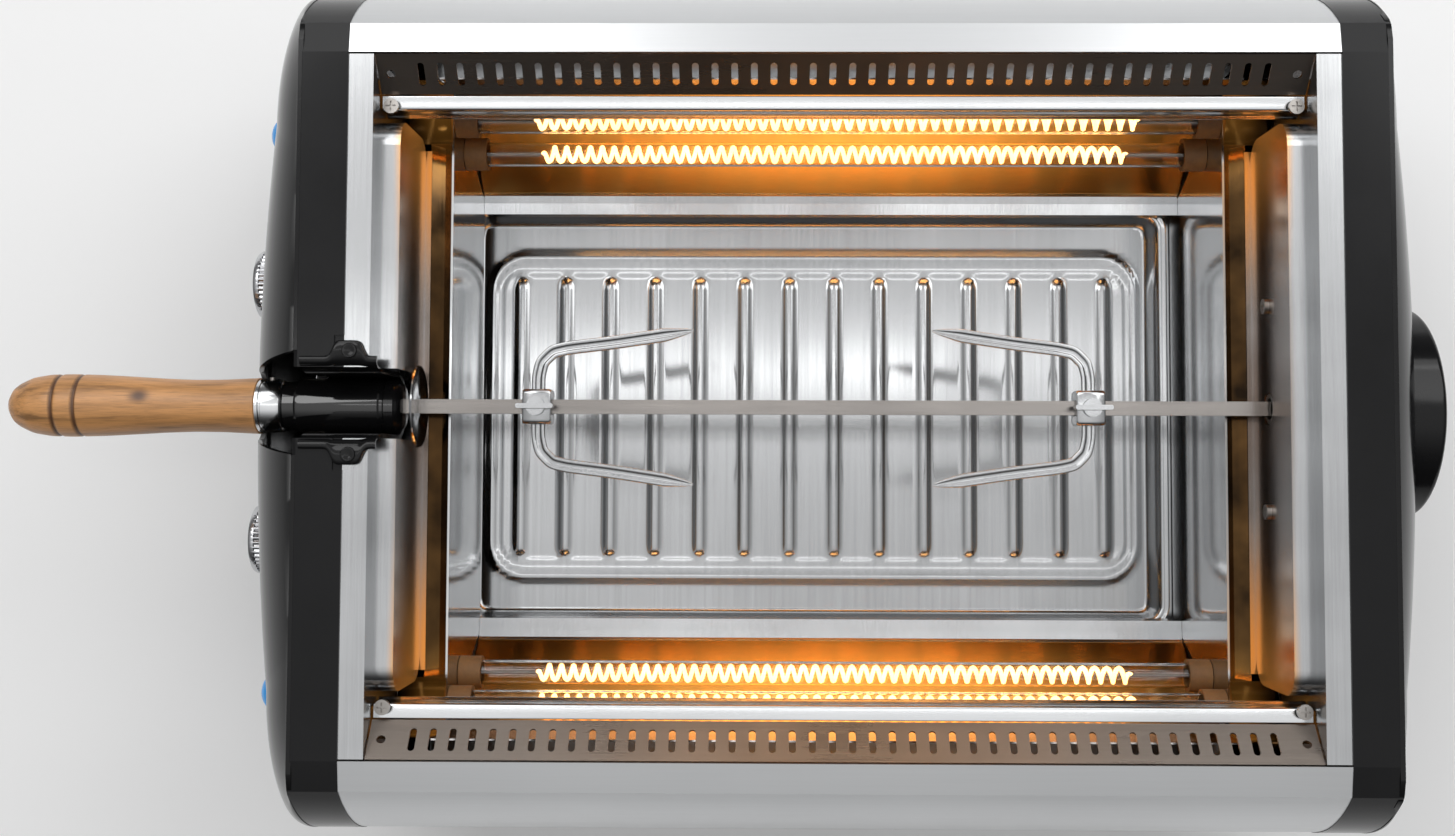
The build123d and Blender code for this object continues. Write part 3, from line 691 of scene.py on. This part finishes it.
def cut(piece, cutter):
    """Take a cutter's volume out of a piece, and drop the cutter."""
    hole = piece.modifiers.new("cut", "BOOLEAN")
    hole.object = cutter
    hole.solver = "EXACT"
    apply_modifiers(piece)
    bpy.data.objects.remove(cutter)


def sheet(path, thickness):
    """A closed outline round a path of (y, z) pairs, half the thickness to each side of it."""
    along = np.gradient(np.asarray(path, float), axis=0)
    along /= np.linalg.norm(along, axis=1)[:, None]
    across = along[:, ::-1] * (-1, 1) * thickness / 2
    return np.concatenate([path + across, (path - across)[::-1]])


def prism(name, outline, x_from, x_to):
    """A closed outline of (y, z) pairs carried straight along X."""
    ends = [np.concatenate([np.full((len(outline), 1), x), outline], 1) for x in (x_from, x_to)]
    return outward(piece_from_grid(name, np.stack(ends), wrap_v=True, cap_u=True))


class OVEN_OT_ends(bpy.types.Operator):
    """Build the two moulded end covers with the slots for the spit and the tray"""
    bl_idname = "oven.ends"
    bl_label = "End Covers"

    def execute(self, context):
        for name, side, reach in (("left", -1, 274.0), ("right", 1, 269.0)):
            grid = end_cover(side, reach)
            shell = piece_from_grid(f"{name}_moulded_end", grid[:, ::side])
            thicken(shell, COVER_SHEET)
            apply_modifiers(shell)
            if side < 0:
                t = np.linspace(math.pi, 2 * math.pi, 25)
                trough = np.stack([TROUGH_RADIUS * np.cos(t), SPIT_Z + TROUGH_RADIUS * np.sin(t)], -1)
                trough = np.concatenate([[(-24 * MM, 0.222), (-18.5 * MM, SPIT_Z + 0.019)], trough,
                                         [(18.5 * MM, SPIT_Z + 0.019), (24 * MM, 0.222)]])
                cut(shell, prism("trough", trough, *COVER_CUT))
                slot = rounded([(-114.5, 37), (114.5, 37), (114.5, 63), (-114.5, 63)], 5, 7) * MM
                cut(shell, prism("slot", slot, *COVER_CUT))
            smooth(shell, 32)
            fit(shell, "oven", black_gloss(), f"{name}_end_cover", f"{name}_end_cover")
        low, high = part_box("cover_screws")
        radius = (high.z - low.z) / 2
        for name, y in (("front", low.y + radius), ("rear", high.y - radius)):
            face = MID_X + COVER_CAP_X
            profile = [(face - 0.006, 0.0), (face - 0.006, radius), (face + 0.0014, radius),
                       (face + 0.0022, radius * 0.9), (face + 0.0026, radius * 0.6), (face + 0.0018, radius * 0.45),
                       (face + 0.0018, 0.0)]
            cap = turned(f"{name}_cover_cap", profile, y, (low.z + high.z) / 2, 48)
            fit(cap, "oven", black_satin(), "cover_screws", "cover_screws")
        return {"FINISHED"}


class OVEN_OT_cavity(bpy.types.Operator):
    """Finish the cavity's sheet metal"""
    bl_idname = "oven.cavity"
    bl_label = "Cavity"

    def execute(self, context):
        coat_nodes(liner_steel(), "left_side_liner", "right_side_liner")
        coat_nodes(mirror_steel(), "left_lower_wall", "right_lower_wall")
        coat_nodes(vent_steel(), "front_vent_panel", "rear_vent_panel")
        rail = rounded([(138.0, 200.8), (131.9, 200.3), (131.2, 198.6), (131.2, 192.4), (129.6, 190.4),
                        (130.4, 188.2), (133.6, 188.2), (134.4, 190.6), (133.0, 193.0), (132.9, 198.8),
                        (138.0, 199.6)], 1.0, 5) * MM
        corner = [(126.4, 149.9), (126.4, 149.1), (150.6, 149.1), (151.2, 160), (148.4, 186.4), (149.2, 186.5),
                  (152.0, 160), (151.4, 149.9)]
        for name, depth in (("front", -1), ("rear", 1)):
            bar = prism(f"{name}_rolled_rail", rail * (depth, 1), MID_X - RAIL_HALF, MID_X + RAIL_HALF)
            fit(smooth(bar, 30), "oven", bright_steel(), f"{name}_rail", f"{name}_rail")
            bowl = np.concatenate([arc((149.4, 186), (151.6, 160), (150.4, 140), 12),
                                   arc((150.4, 140), (136.5, 101), (116.2, 66.4), 18)[1:]]) * (depth, 1)
            bowl = prism(f"{name}_mirror_bowl", sheet(bowl, BOWL_SHEET) * MM, MID_X - BOWL_HALF,
                         MID_X + BOWL_HALF)
            fit(smooth(bowl, 30), "oven", reflector_steel(), f"{name}_reflector", f"{name}_reflector")
            flange = np.array([(117.4, 68.4), (116.0, 66.0), (112.0, 65.4), (106.4, 65.0),
                               (105.6, 62.6)]) * (depth, 1)
            flange = prism(f"{name}_bowl_flange", sheet(flange, BOWL_SHEET) * MM, MID_X - BOWL_HALF,
                           MID_X + BOWL_HALF)
            fit(flange, "oven", liner_steel(), f"{name}_reflector", f"{name}_reflector")
            for end, side in (("left", -1), ("right", 1)):
                plate = prism(f"{name}_{end}_corner_plate", np.array(corner) * (depth * MM, MM),
                              *(MID_X + side * x for x in PLATE_X))
                fit(plate, "oven", wall_steel(), f"{name}_reflector")
        ledge = rounded([(-143, 45.6), (143, 45.6), (143, 46.4), (-143, 46.4)], 0.3, 3) * MM
        ledge = prism("tray_stop_ledge", ledge, *(MID_X + x for x in LEDGE_X))
        fit(ledge, "oven", liner_steel(), "right_lower_wall")
        for name, side, wall in (("left", -1, LEFT_WALL), ("right", 1, RIGHT_WALL)):
            top = wall[1].z
            section = [(193.9, top / MM + 0.2), (184.0, top / MM - 5.4), (184.0, top / MM - 6.2),
                       (193.9, top / MM - 0.8)]
            path = np.stack([np.full(40, MID_X), np.linspace(-LIP_HALF, LIP_HALF, 40), np.zeros(40)], -1)
            lip = swept(f"{name}_wall_lip", path, np.array(section) * (side * MM, MM))
            fit(lip, "oven", wall_steel(), f"{name}_lower_wall")
        return {"FINISHED"}


def coil_path(half, turns, radius, per_turn=18):
    """A helix about X that narrows to its axis over the first and the last half turn."""
    turn = np.linspace(0, turns, turns * per_turn + 1)
    x = -half + 2 * half * turn / turns
    ease = np.clip(np.minimum(turn, turns - turn) * 2, 0, 1)
    r = radius * ease * (1 + 0.03 * np.sin(turn * 1.7))
    angle = 2 * math.pi * turn
    return np.stack([x, r * np.cos(angle), r * np.sin(angle)], -1)


class OVEN_OT_heaters(bpy.types.Operator):
    """Build the wound coils, and finish the quartz tubes and their holders"""
    bl_idname = "oven.heaters"
    bl_label = "Heaters"

    def execute(self, context):
        sizes = context.scene.oven_sizes
        coat_nodes(glass("quartz", (0.97, 0.95, 0.92), 0.03), "front_quartz_tubes", "rear_quartz_tubes")
        coat_nodes(ceramic(), "ceramic_holders")
        for side in ("front", "rear"):
            node = f"{side}_heating_coils"
            low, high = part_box(node)
            near_y, far_y = sorted((low.y + COIL_RADIUS, high.y - COIL_RADIUS), key=abs)
            for level, y, z in (("lower", near_y, low.z + COIL_RADIUS), ("upper", far_y, high.z - COIL_RADIUS)):
                path = coil_path(COIL_HALF, sizes.coil_turns, COIL_RADIUS - sizes.wire_radius) + (MID_X, y, z)
                ring = np.linspace(0, 2 * math.pi, 6, endpoint=False)
                outline = sizes.wire_radius * np.stack([np.cos(ring), np.sin(ring)], -1)
                coil = swept(f"{side}_{level}_coil", path, outline, up=(1, 0, 0.02))
                for end, far in (("left", low.x + 0.001), ("right", high.x - 0.001)):
                    near = MID_X + math.copysign(COIL_HALF - 0.001, far - MID_X)
                    run = np.linspace((far, y, z), (near, y, z), 8)
                    lead = swept(f"{side}_{level}_{end}_lead", run, outline * 0.8)
                    fit(lead, "oven", plated_steel(), node, node)
                fit(coil, "oven", hot_wire(), node, node)
        return {"FINISHED"}


def tray_axis(half, fine, coarse, edge):
    """Places across the tray, close together near both edges and wider apart between them."""
    rim = np.arange(half - edge, half + fine / 2, fine)
    inside = np.linspace(-half + edge, half - edge, int(2 * (half - edge) / coarse))
    return np.concatenate([-rim[::-1], inside[1:-1], rim])


def tray_height(x, y, half_x, half_y, rim, floor, rib_height):
    """Height of the pressed sheet: flat rim, sloping wall, floor, a raised rounded border and upright ribs."""
    inset = -corner_distance(x, y, half_x, half_y, TRAY_CORNER)
    wall = np.clip((inset - 4 * MM) / (5.5 * MM), 0, 1)
    wall = wall * wall * (3 - 2 * wall)
    z = rim + (floor - rim) * wall
    rolled = bump(np.abs(inset - 0.6 * MM), 1.4 * MM)
    z = z + 0.5 * MM * rolled - 0.5 * MM
    inner = -corner_distance(x, y, half_x - 15 * MM, half_y - 27 * MM, 18 * MM)
    z = z + 1.3 * MM * bump(np.abs(inner), 3.6 * MM) + 0.6 * MM * bump(np.abs(inner - 6.5 * MM), 2.6 * MM)
    z = z - 0.5 * MM * np.clip(inner / (3 * MM), 0, 1)
    first, pitch, count = -156.6 * MM, 24 * MM, 14
    rib = np.clip(np.round((x - first) / pitch), 0, count - 1) * pitch + first
    capsule = np.hypot(x - rib, np.maximum(np.abs(y) - 71 * MM, 0))
    return z + rib_height * bump(np.maximum(capsule - 1.0 * MM, 0), 3.4 * MM)


class OVEN_OT_tray(bpy.types.Operator):
    """Build the pressed drip tray and its tongue"""
    bl_idname = "oven.tray"
    bl_label = "Drip Tray"

    def execute(self, context):
        sizes = context.scene.oven_sizes
        low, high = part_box("drip_tray")
        half_y = (high.y - low.y) / 2
        half_x = TRAY_HALF
        mid_x = high.x - half_x
        x = tray_axis(half_x, 0.9 * MM, 1.7 * MM, 12 * MM)
        y = tray_axis(half_y, 0.9 * MM, 2.6 * MM, 12 * MM)
        grid_x, grid_y = np.meshgrid(x, y, indexing="ij")
        radius = TRAY_CORNER
        p = np.maximum(np.abs(grid_x) - half_x + radius, 0)
        q = np.maximum(np.abs(grid_y) - half_y + radius, 0)
        shift_x = p * (np.sqrt(np.maximum(1 - q ** 2 / (2 * radius ** 2), 0)) - 1)
        shift_y = q * (np.sqrt(np.maximum(1 - p ** 2 / (2 * radius ** 2), 0)) - 1)
        grid_x = grid_x + np.sign(grid_x) * shift_x
        grid_y = grid_y + np.sign(grid_y) * shift_y
        z = tray_height(grid_x, grid_y, half_x, half_y, high.z, TRAY_FLOOR, sizes.rib_height)
        grid = np.stack([grid_x + mid_x, grid_y, z], -1)
        tray = piece_from_grid("pressed_tray", grid)
        thicken(tray, sizes.tray_sheet)
        smooth(tray, 60)
        fit(tray, "tray", tray_steel(), "drip_tray", "drip_tray")
        u = np.linspace(low.x + 0.001, mid_x - half_x + 0.003, 24)
        v = np.linspace(-74 * MM, 74 * MM, 60)
        tongue_x, tongue_y = np.meshgrid(u, v, indexing="ij")
        bead = bump(np.abs(np.abs(tongue_y) - 60 * MM), 4 * MM)
        tongue_z = np.full_like(tongue_x, high.z - 0.0013) + 0.0008 * bead
        tongue = piece_from_grid("tray_tongue", np.stack([tongue_x, tongue_y, tongue_z], -1))
        thicken(tongue, sizes.tray_sheet)
        smooth(tongue, 60)
        fit(tongue, "tray", tray_steel(), "drip_tray", "drip_tray")
        return {"FINISHED"}


class OVEN_OT_spit(bpy.types.Operator):
    """Build the turned handle, ferrule, journal and disc, and finish the rod"""
    bl_idname = "oven.spit"
    bl_label = "Spit"

    def execute(self, context):
        low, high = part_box("wood_handle")
        x = np.linspace(0, 1, 140)
        knots_x = np.array([0.0, 1.2, 3.6, 6.5, 12.0, 20.0, 30.0, 43.0, 57.0, 72.0, 86.0, 100.0, 110.0, 116.0])
        knots_r = np.array([0.0, 4.9, 8.4, 10.4, 12.9, 14.2, 14.42, 14.1, 13.4, 12.5, 11.95, 12.1, 12.6, 12.85])
        length = 116 * MM
        place_x = (x ** 1.35) * knots_x[-1]
        fine = np.linspace(0, knots_x[-1], 1200)
        kernel = np.hanning(61)
        rough_r = np.interp(fine, knots_x, knots_r)
        soft_r = np.convolve(np.pad(rough_r, 30, mode="edge"), kernel / kernel.sum(), "valid")
        blend = np.clip(fine / 10, 0, 1)
        radius = np.interp(place_x, fine, rough_r * (1 - blend) + soft_r * blend)
        for groove in GROOVES:
            radius = radius - 0.8 * bump(np.abs(place_x - groove / MM), 1.3)
        profile = np.stack([low.x + place_x / knots_x[-1] * length, np.maximum(radius, 0.02) * MM], -1)
        neck = np.array([[low.x + length + 0.0004, 0.0122], [low.x + length + 0.0006, 0.0109],
                         [high.x - 0.0002, 0.0109]])
        handle = turned("turned_handle", np.concatenate([profile, neck]), 0, SPIT_Z, 120)
        fit(handle, "spit", oak(), "wood_handle", "wood_handle")

        start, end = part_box("handle_ferrule")[0].x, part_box("handle_ferrule")[1].x
        ferrule = [(start, 0.0111), (start, 0.0119), (start + 0.0004, 0.0123), (start + 0.0018, 0.0123),
                   (start + 0.0022, 0.0120), (start + 0.0028, 0.0120), (start + 0.0032, 0.0123),
                   (end - 0.0022, 0.0123), (end - 0.0006, 0.0117), (end, 0.0105), (end, 0.0098)]
        fit(turned("ferrule", ferrule, 0, SPIT_Z), "spit", bright_steel(), "handle_ferrule", "handle_ferrule")

        start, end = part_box("spit_journal")[0].x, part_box("spit_journal")[1].x
        journal = [(start, 0.0), (start, 0.0102), (start + 0.0008, 0.0110), (start + 0.006, 0.0112),
                   (start + 0.0072, 0.0125), (start + 0.0085, 0.0127), (end - 0.010, 0.0127),
                   (end - 0.0092, 0.0121), (end - 0.0078, 0.0121), (end - 0.007, 0.0127), (end - 0.003, 0.0125),
                   (end - 0.0004, 0.0102), (end, 0.009), (end, 0.0)]
        fit(turned("journal", journal, 0, SPIT_Z), "spit", black_polish(), "spit_journal", "spit_journal")

        start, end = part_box("heat_disc")[0].x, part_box("heat_disc")[1].x
        disc = [(start, 0.0), (start, 0.006), (start + 0.0003, 0.013), (start, 0.0175), (start + 0.0002, 0.0188),
                (start + 0.0007, 0.019), (end - 0.0001, 0.0186), (end - 0.0003, 0.017), (end, 0.013),
                (end - 0.0003, 0.006), (end, 0.005), (end, 0.0)]
        fit(turned("polished_disc", disc, 0, SPIT_Z), "spit", mirror_steel(), "heat_disc", "heat_disc")
        coat_nodes(rod_steel(), "spit_rod")
        coat_nodes(plated_steel(), "ferrule_pin")
        return {"FINISHED"}


def fork_path(hub, turn):
    """The stamped fork's middle line: a flat bridge at the hub, two rounded shoulders and two flaring tines."""
    half = np.array([(0.0, 0.0), (0.0, 14.0), (1.5, 20.5), (6.5, 25.5), (14.0, 27.2), (34.0, 29.6), (54.0, 32.6),
                     (72.5, 35.6)])
    t = np.linspace(0, len(half) - 1, 90)
    line = np.stack([np.interp(t, range(len(half)), half[:, i]) for i in (0, 1)], -1)
    kernel = np.hanning(13) / np.hanning(13).sum()
    padded = np.concatenate([line[:1] - (line[1:7] - line[:1])[::-1] * (-1, 1), line, np.repeat(line[-1:], 6, 0)])
    line = np.stack([np.convolve(padded[:, i], kernel, "valid") for i in (0, 1)], -1)
    both = np.concatenate([line[::-1] * (1, -1), line[1:]])
    return np.stack([hub + turn * both[:, 0] * MM, both[:, 1] * MM, np.full(len(both), SPIT_Z)], -1)


def saddle_surface():
    """A channel under the journal whose top edges roll outwards into wings; the wings are wide in the middle
    of its length and narrow at both ends, by a smooth step each side."""
    low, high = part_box("spit_saddle")
    t = np.linspace(-math.pi / 2, 0, 14)
    inner = [(SADDLE_BORE * math.cos(a), 173 + SADDLE_BORE * math.sin(a)) for a in t]
    inner += [(SADDLE_BORE, 190), (SADDLE_BORE, 205), (13.5, 209.5), (14.7, 213.2), (16.6, 215.8), (19.0, 217.3),
              (21.5, 217.8), (24.5, 217.8), (26.2, 217.5), (27.0, 216.9)]
    outer = [(27.0, 216.3), (26.2, 216.0), (20.0, 216.0), (18.0, 215.6), (16.6, 213.8), (15.5, 210.5),
             (SADDLE_OUTSIDE, 205), (SADDLE_OUTSIDE, 190)]
    outer += [(SADDLE_OUTSIDE * math.cos(a), 173 + SADDLE_OUTSIDE * math.sin(a)) for a in t[::-1]]
    half = np.array(inner + outer)
    ring = np.concatenate([half, half[::-1][1:-1] * (-1, 1)])
    x = np.linspace(low.x + 0.0002, high.x + 0.0008, 60)
    middle = (MID_X - SADDLE_X) - x
    wide = 1 / (1 + np.exp((np.abs(middle) - 0.0068) / 0.0007))
    spread = 0.42 + 0.58 * wide
    width = np.abs(ring[:, 0])
    y = np.sign(ring[:, 0]) * (np.minimum(width, SADDLE_OUTSIDE)
                               + np.maximum(width - SADDLE_OUTSIDE, 0) * spread[:, None])
    return np.stack([np.broadcast_to(x[:, None], y.shape), y * MM,
                     np.broadcast_to(ring[:, 1] * MM, y.shape)], -1)


class OVEN_OT_saddle(bpy.types.Operator):
    """Build the moulded saddle that carries the spit's journal"""
    bl_idname = "oven.saddle"
    bl_label = "Spit Saddle"

    def execute(self, context):
        saddle = tube("moulded_saddle", saddle_surface(), 40)
        fit(saddle, "oven", black_gloss(), "spit_saddle", "spit_saddle")
        low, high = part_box("saddle_screws")
        for name, y in (("front", low.y + 0.0035), ("rear", high.y - 0.0035)):
            t = np.linspace(0, 2 * math.pi, 48, endpoint=False)
            rings = ((3.3, 217.2), (3.3, 218.2), (3.0, 218.5), (2.2, 218.55), (1.4, 218.3), (0.02, 218.3))
            grid = np.stack([np.stack([MID_X - SADDLE_SCREW_X + r * MM * np.cos(t), y + r * MM * np.sin(t),
                                       np.full(48, z * MM)], -1) for r, z in rings])
            plug = tube(f"{name}_saddle_plug", grid, 40)
            fit(plug, "oven", black_gloss(), "saddle_screws", "saddle_screws")
        return {"FINISHED"}


class OVEN_OT_forks(bpy.types.Operator):
    """Build the stamped meat forks and their hubs, and finish the thumbscrews"""
    bl_idname = "oven.forks"
    bl_label = "Forks"

    def execute(self, context):
        strip = [(-3.1, -1.0), (3.1, -1.0), (3.1, 0.7), (2.6, 1.0), (1.5, 1.0), (0.9, 0.45), (-0.9, 0.45),
                 (-1.5, 1.0), (-2.6, 1.0), (-3.1, 0.7)]
        for side, turn in (("left", 1), ("right", -1)):
            body = f"fork_{side}"
            node = f"{side}_fork"
            hub = centre(f"{side}_thumbscrew").x
            path = fork_path(hub, turn)
            reach = np.linspace(-1, 1, len(path))
            taper = np.clip((1 - np.abs(reach)) * 9, 0.06, 1) ** 0.7
            prongs = swept(f"{side}_fork_plate", path, rounded(strip, 0.5, 3) * MM, scale=taper)
            fit(prongs, body, fork_steel(), node, node)
            outer = rounded([(-8, -7), (8, -7), (8, 7), (-8, 7)], 2.2, 6) * MM
            inner = rounded([(-3.6, -3.6), (3.6, -3.6), (3.6, 3.6), (-3.6, 3.6)], 0.4, 6) * MM
            rings = [(inner, -6.3), (outer * 0.93, -6.5), (outer, -5.7), (outer, 5.7), (outer * 0.93, 6.5),
                     (inner, 6.3)]
            grid = np.stack([np.concatenate([np.full((len(r), 1), hub + x * MM), r + (0, SPIT_Z)], 1)
                             for r, x in rings])
            block = tube(f"{side}_fork_hub", grid, 40, wrap_u=True)
            fit(block, body, fork_steel(), node, node)
            coat_nodes(fork_steel(), f"{side}_thumbscrew")
        return {"FINISHED"}


class OVEN_OT_controls(bpy.types.Operator):
    """Build the knurled knobs and the blue pilot lenses"""
    bl_idname = "oven.controls"
    bl_label = "Controls"

    def execute(self, context):
        count = context.scene.oven_sizes.knurls
        for name, body in (("timer_knob", "timer_control"), ("heat_knob", "heat_control")):
            low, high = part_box(name)
            y, z = (low.y + high.y) / 2, (low.z + high.z) / 2
            profile = [(low.x + 0.0022, 0.0), (low.x + 0.0022, 0.011), (low.x + 0.0018, 0.0135),
                       (low.x + 0.0004, 0.0146), (low.x, 0.0156), (low.x + 0.0004, 0.0166), (low.x + 0.0016, 0.0172),
                       (low.x + 0.0030, 0.0173), (low.x + 0.0034, 0.0173), (high.x - 0.0030, 0.0176),
                       (high.x - 0.0024, 0.0180), (high.x - 0.0004, 0.0180), (high.x, 0.0175), (high.x, 0.0)]

            def flute(x, angle, near=low.x + 0.0032, far=high.x - 0.0028):
                """Fine grooves along the grip, none on the rims."""
                inside = (x > near) & (x < far)
                return np.where(inside, -0.0004 * (1 + np.cos(angle * count)), 0.0)

            knob = turned(f"{name}_cap", profile, y, z, count * 6, flute)
            fit(knob, body, silver_cap(), name, name)
            line = rounded([(-0.7, -5), (0.7, -5), (0.7, 5), (-0.7, 5)], 0.6, 5) * MM
            grid = np.stack([np.stack([np.full(len(line), low.x + depth), y + line[:, 0],
                                       z + 0.0092 + line[:, 1]], -1) for depth in (0.0024, 0.0019)])
            mark = outward(piece_from_grid(f"{name}_mark", grid, wrap_v=True, cap_u=True))
            fit(mark, body, black_satin(), name, name)
        lens_low, lens_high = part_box("pilot_lenses")
        for side, y in (("front", lens_low.y + 0.009), ("rear", lens_high.y - 0.009)):
            t = np.linspace(0, math.pi / 2, 14)
            dome = [(lens_low.x + 0.006 * (1 - math.cos(a)), max(0.009 * math.sin(a), 0.00002)) for a in t]
            tail = [(lens_low.x + 0.0130, 0.009), (lens_low.x + 0.0133, 0.0086), (lens_high.x, 0.0086),
                    (lens_high.x, 0.0)]
            lens = turned(f"{side}_pilot_lens", dome + tail, y, centre("pilot_lenses").z, 64)
            fit(lens, "oven", blue_lens(), "pilot_lenses", "pilot_lenses")
        return {"FINISHED"}


# ---------------------------------------------------------------- stage

CAMERA_AT = (0.01999, -0.02902, 0.91405)
CAMERA_TURN = (0.0521, 0.0121, 0.0035)
CAMERA_SHIFT = (-0.0131, -0.0216)
FLOOR_HALF = 14
# Grey levels of the surroundings, by the height of the direction.
SKY = ((0.0, 0.3), (0.3, 0.12), (0.6, 0.3), (0.85, 0.8), (1.0, 1.08))


def softbox(name, at, aim, size, power):
    """A white rectangular area light at a place, aimed at a point."""
    data = bpy.data.lights.new(name, "AREA")
    data.shape = "RECTANGLE"
    data.size, data.size_y = size
    data.energy = power
    lamp = bpy.data.objects.new(name, data)
    lamp.location = at
    lamp.rotation_euler = (Vector(aim) - Vector(at)).to_track_quat("-Z", "Y").to_euler()
    bpy.context.scene.collection.objects.link(lamp)


class OVEN_OT_stage(bpy.types.Operator):
    """Set the pale floor, soft lights, backdrop tone and camera"""
    bl_idname = "oven.stage"
    bl_label = "Stage"

    def execute(self, context):
        scene = context.scene
        reach = np.linspace(-FLOOR_HALF, FLOOR_HALF, 13)
        grid_x, grid_y = np.meshgrid(reach, reach, indexing="ij")
        floor = piece_from_grid("floor", np.stack([grid_x, grid_y, np.full_like(grid_x, -0.0005)], -1))
        floor.data.materials.append(finish("pale floor", (0.95, 0.95, 0.95), (0.92, 0.92, 0.92), 0.0, 0.6, 0.05,
                                           (3, 3, 3), cloud=1.0, height=0.0))
        world = bpy.data.worlds.new("studio")
        scene.world = world
        world.use_nodes = True
        tree = world.node_tree
        back = tree.nodes["Background"]
        where = tree.nodes.new("ShaderNodeTexCoord")
        split = place(tree, "ShaderNodeSeparateXYZ", {0: where.outputs["Generated"]})
        sky = ramped(tree, split.outputs["Z"], [(at, (level,) * 3) for at, level in SKY])
        front = ranged(tree, split.outputs["Y"], -0.95, -0.3, 0.12, 1.0)
        dim = mixed(tree, 1.0, sky, front, "MULTIPLY")
        rays = tree.nodes.new("ShaderNodeLightPath")
        feed(tree, back.inputs["Color"], mixed(tree, rays.outputs["Is Camera Ray"], dim, (0.8, 0.8, 0.8, 1)))
        back.inputs["Strength"].default_value = 1.0
        scene.view_settings.view_transform = "Standard"
        softbox("key", (-0.9, 1.0, 1.9), (0.05, 0, 0.1), (1.2, 0.9), 11)
        softbox("fill", (1.2, 0.9, 1.7), (0.05, 0, 0.1), (1.1, 1.1), 10)
        softbox("overhead strip", (0.0, 0.16, 2.2), (0, 0.02, 0.1), (1.7, 0.07), 1.1)
        softbox("top strip", (0.1, 1.4, 1.2), (0.05, 0, 0.15), (2.0, 0.35), 6)
        data = bpy.data.cameras.new("camera")
        data.lens = 40.0
        data.sensor_width = 36.0
        data.shift_x, data.shift_y = CAMERA_SHIFT
        data.clip_start = 0.01
        camera = bpy.data.objects.new("camera", data)
        camera.location = CAMERA_AT
        camera.rotation_euler = CAMERA_TURN
        scene.collection.objects.link(camera)
        scene.camera = camera
        return {"FINISHED"}


class OVEN_PT_panel(bpy.types.Panel):
    """Lists the oven's steps and values"""
    bl_idname = "OVEN_PT_panel"
    bl_label = "Rotisserie Oven"
    bl_space_type = "VIEW_3D"
    bl_region_type = "UI"
    bl_category = "Oven"

    def draw(self, context):
        for step in STEPS:
            self.layout.operator(f"oven.{step}")
        for group in (context.scene.oven_sizes, context.scene.oven_colours):
            for key in group.bl_rna.properties.keys():
                if key not in ("rna_type", "name"):
                    self.layout.prop(group, key)


STEPS = ("casing", "ends", "cavity", "heaters", "tray", "spit", "saddle", "forks", "controls", "stage")
CLASSES = (OvenSizes, OvenColours, OVEN_OT_casing, OVEN_OT_ends, OVEN_OT_cavity, OVEN_OT_heaters, OVEN_OT_tray,
           OVEN_OT_spit, OVEN_OT_saddle, OVEN_OT_forks, OVEN_OT_controls, OVEN_OT_stage, OVEN_PT_panel)


def register():
    for item in CLASSES:
        bpy.utils.register_class(item)
    bpy.types.Scene.oven_sizes = PointerProperty(type=OvenSizes)
    bpy.types.Scene.oven_colours = PointerProperty(type=OvenColours)


def unregister():
    del bpy.types.Scene.oven_colours
    del bpy.types.Scene.oven_sizes
    for item in reversed(CLASSES):
        bpy.utils.unregister_class(item)


def main():
    register()
    for step in STEPS:
        getattr(bpy.ops.oven, step)()


if __name__ == "__main__":
    main()
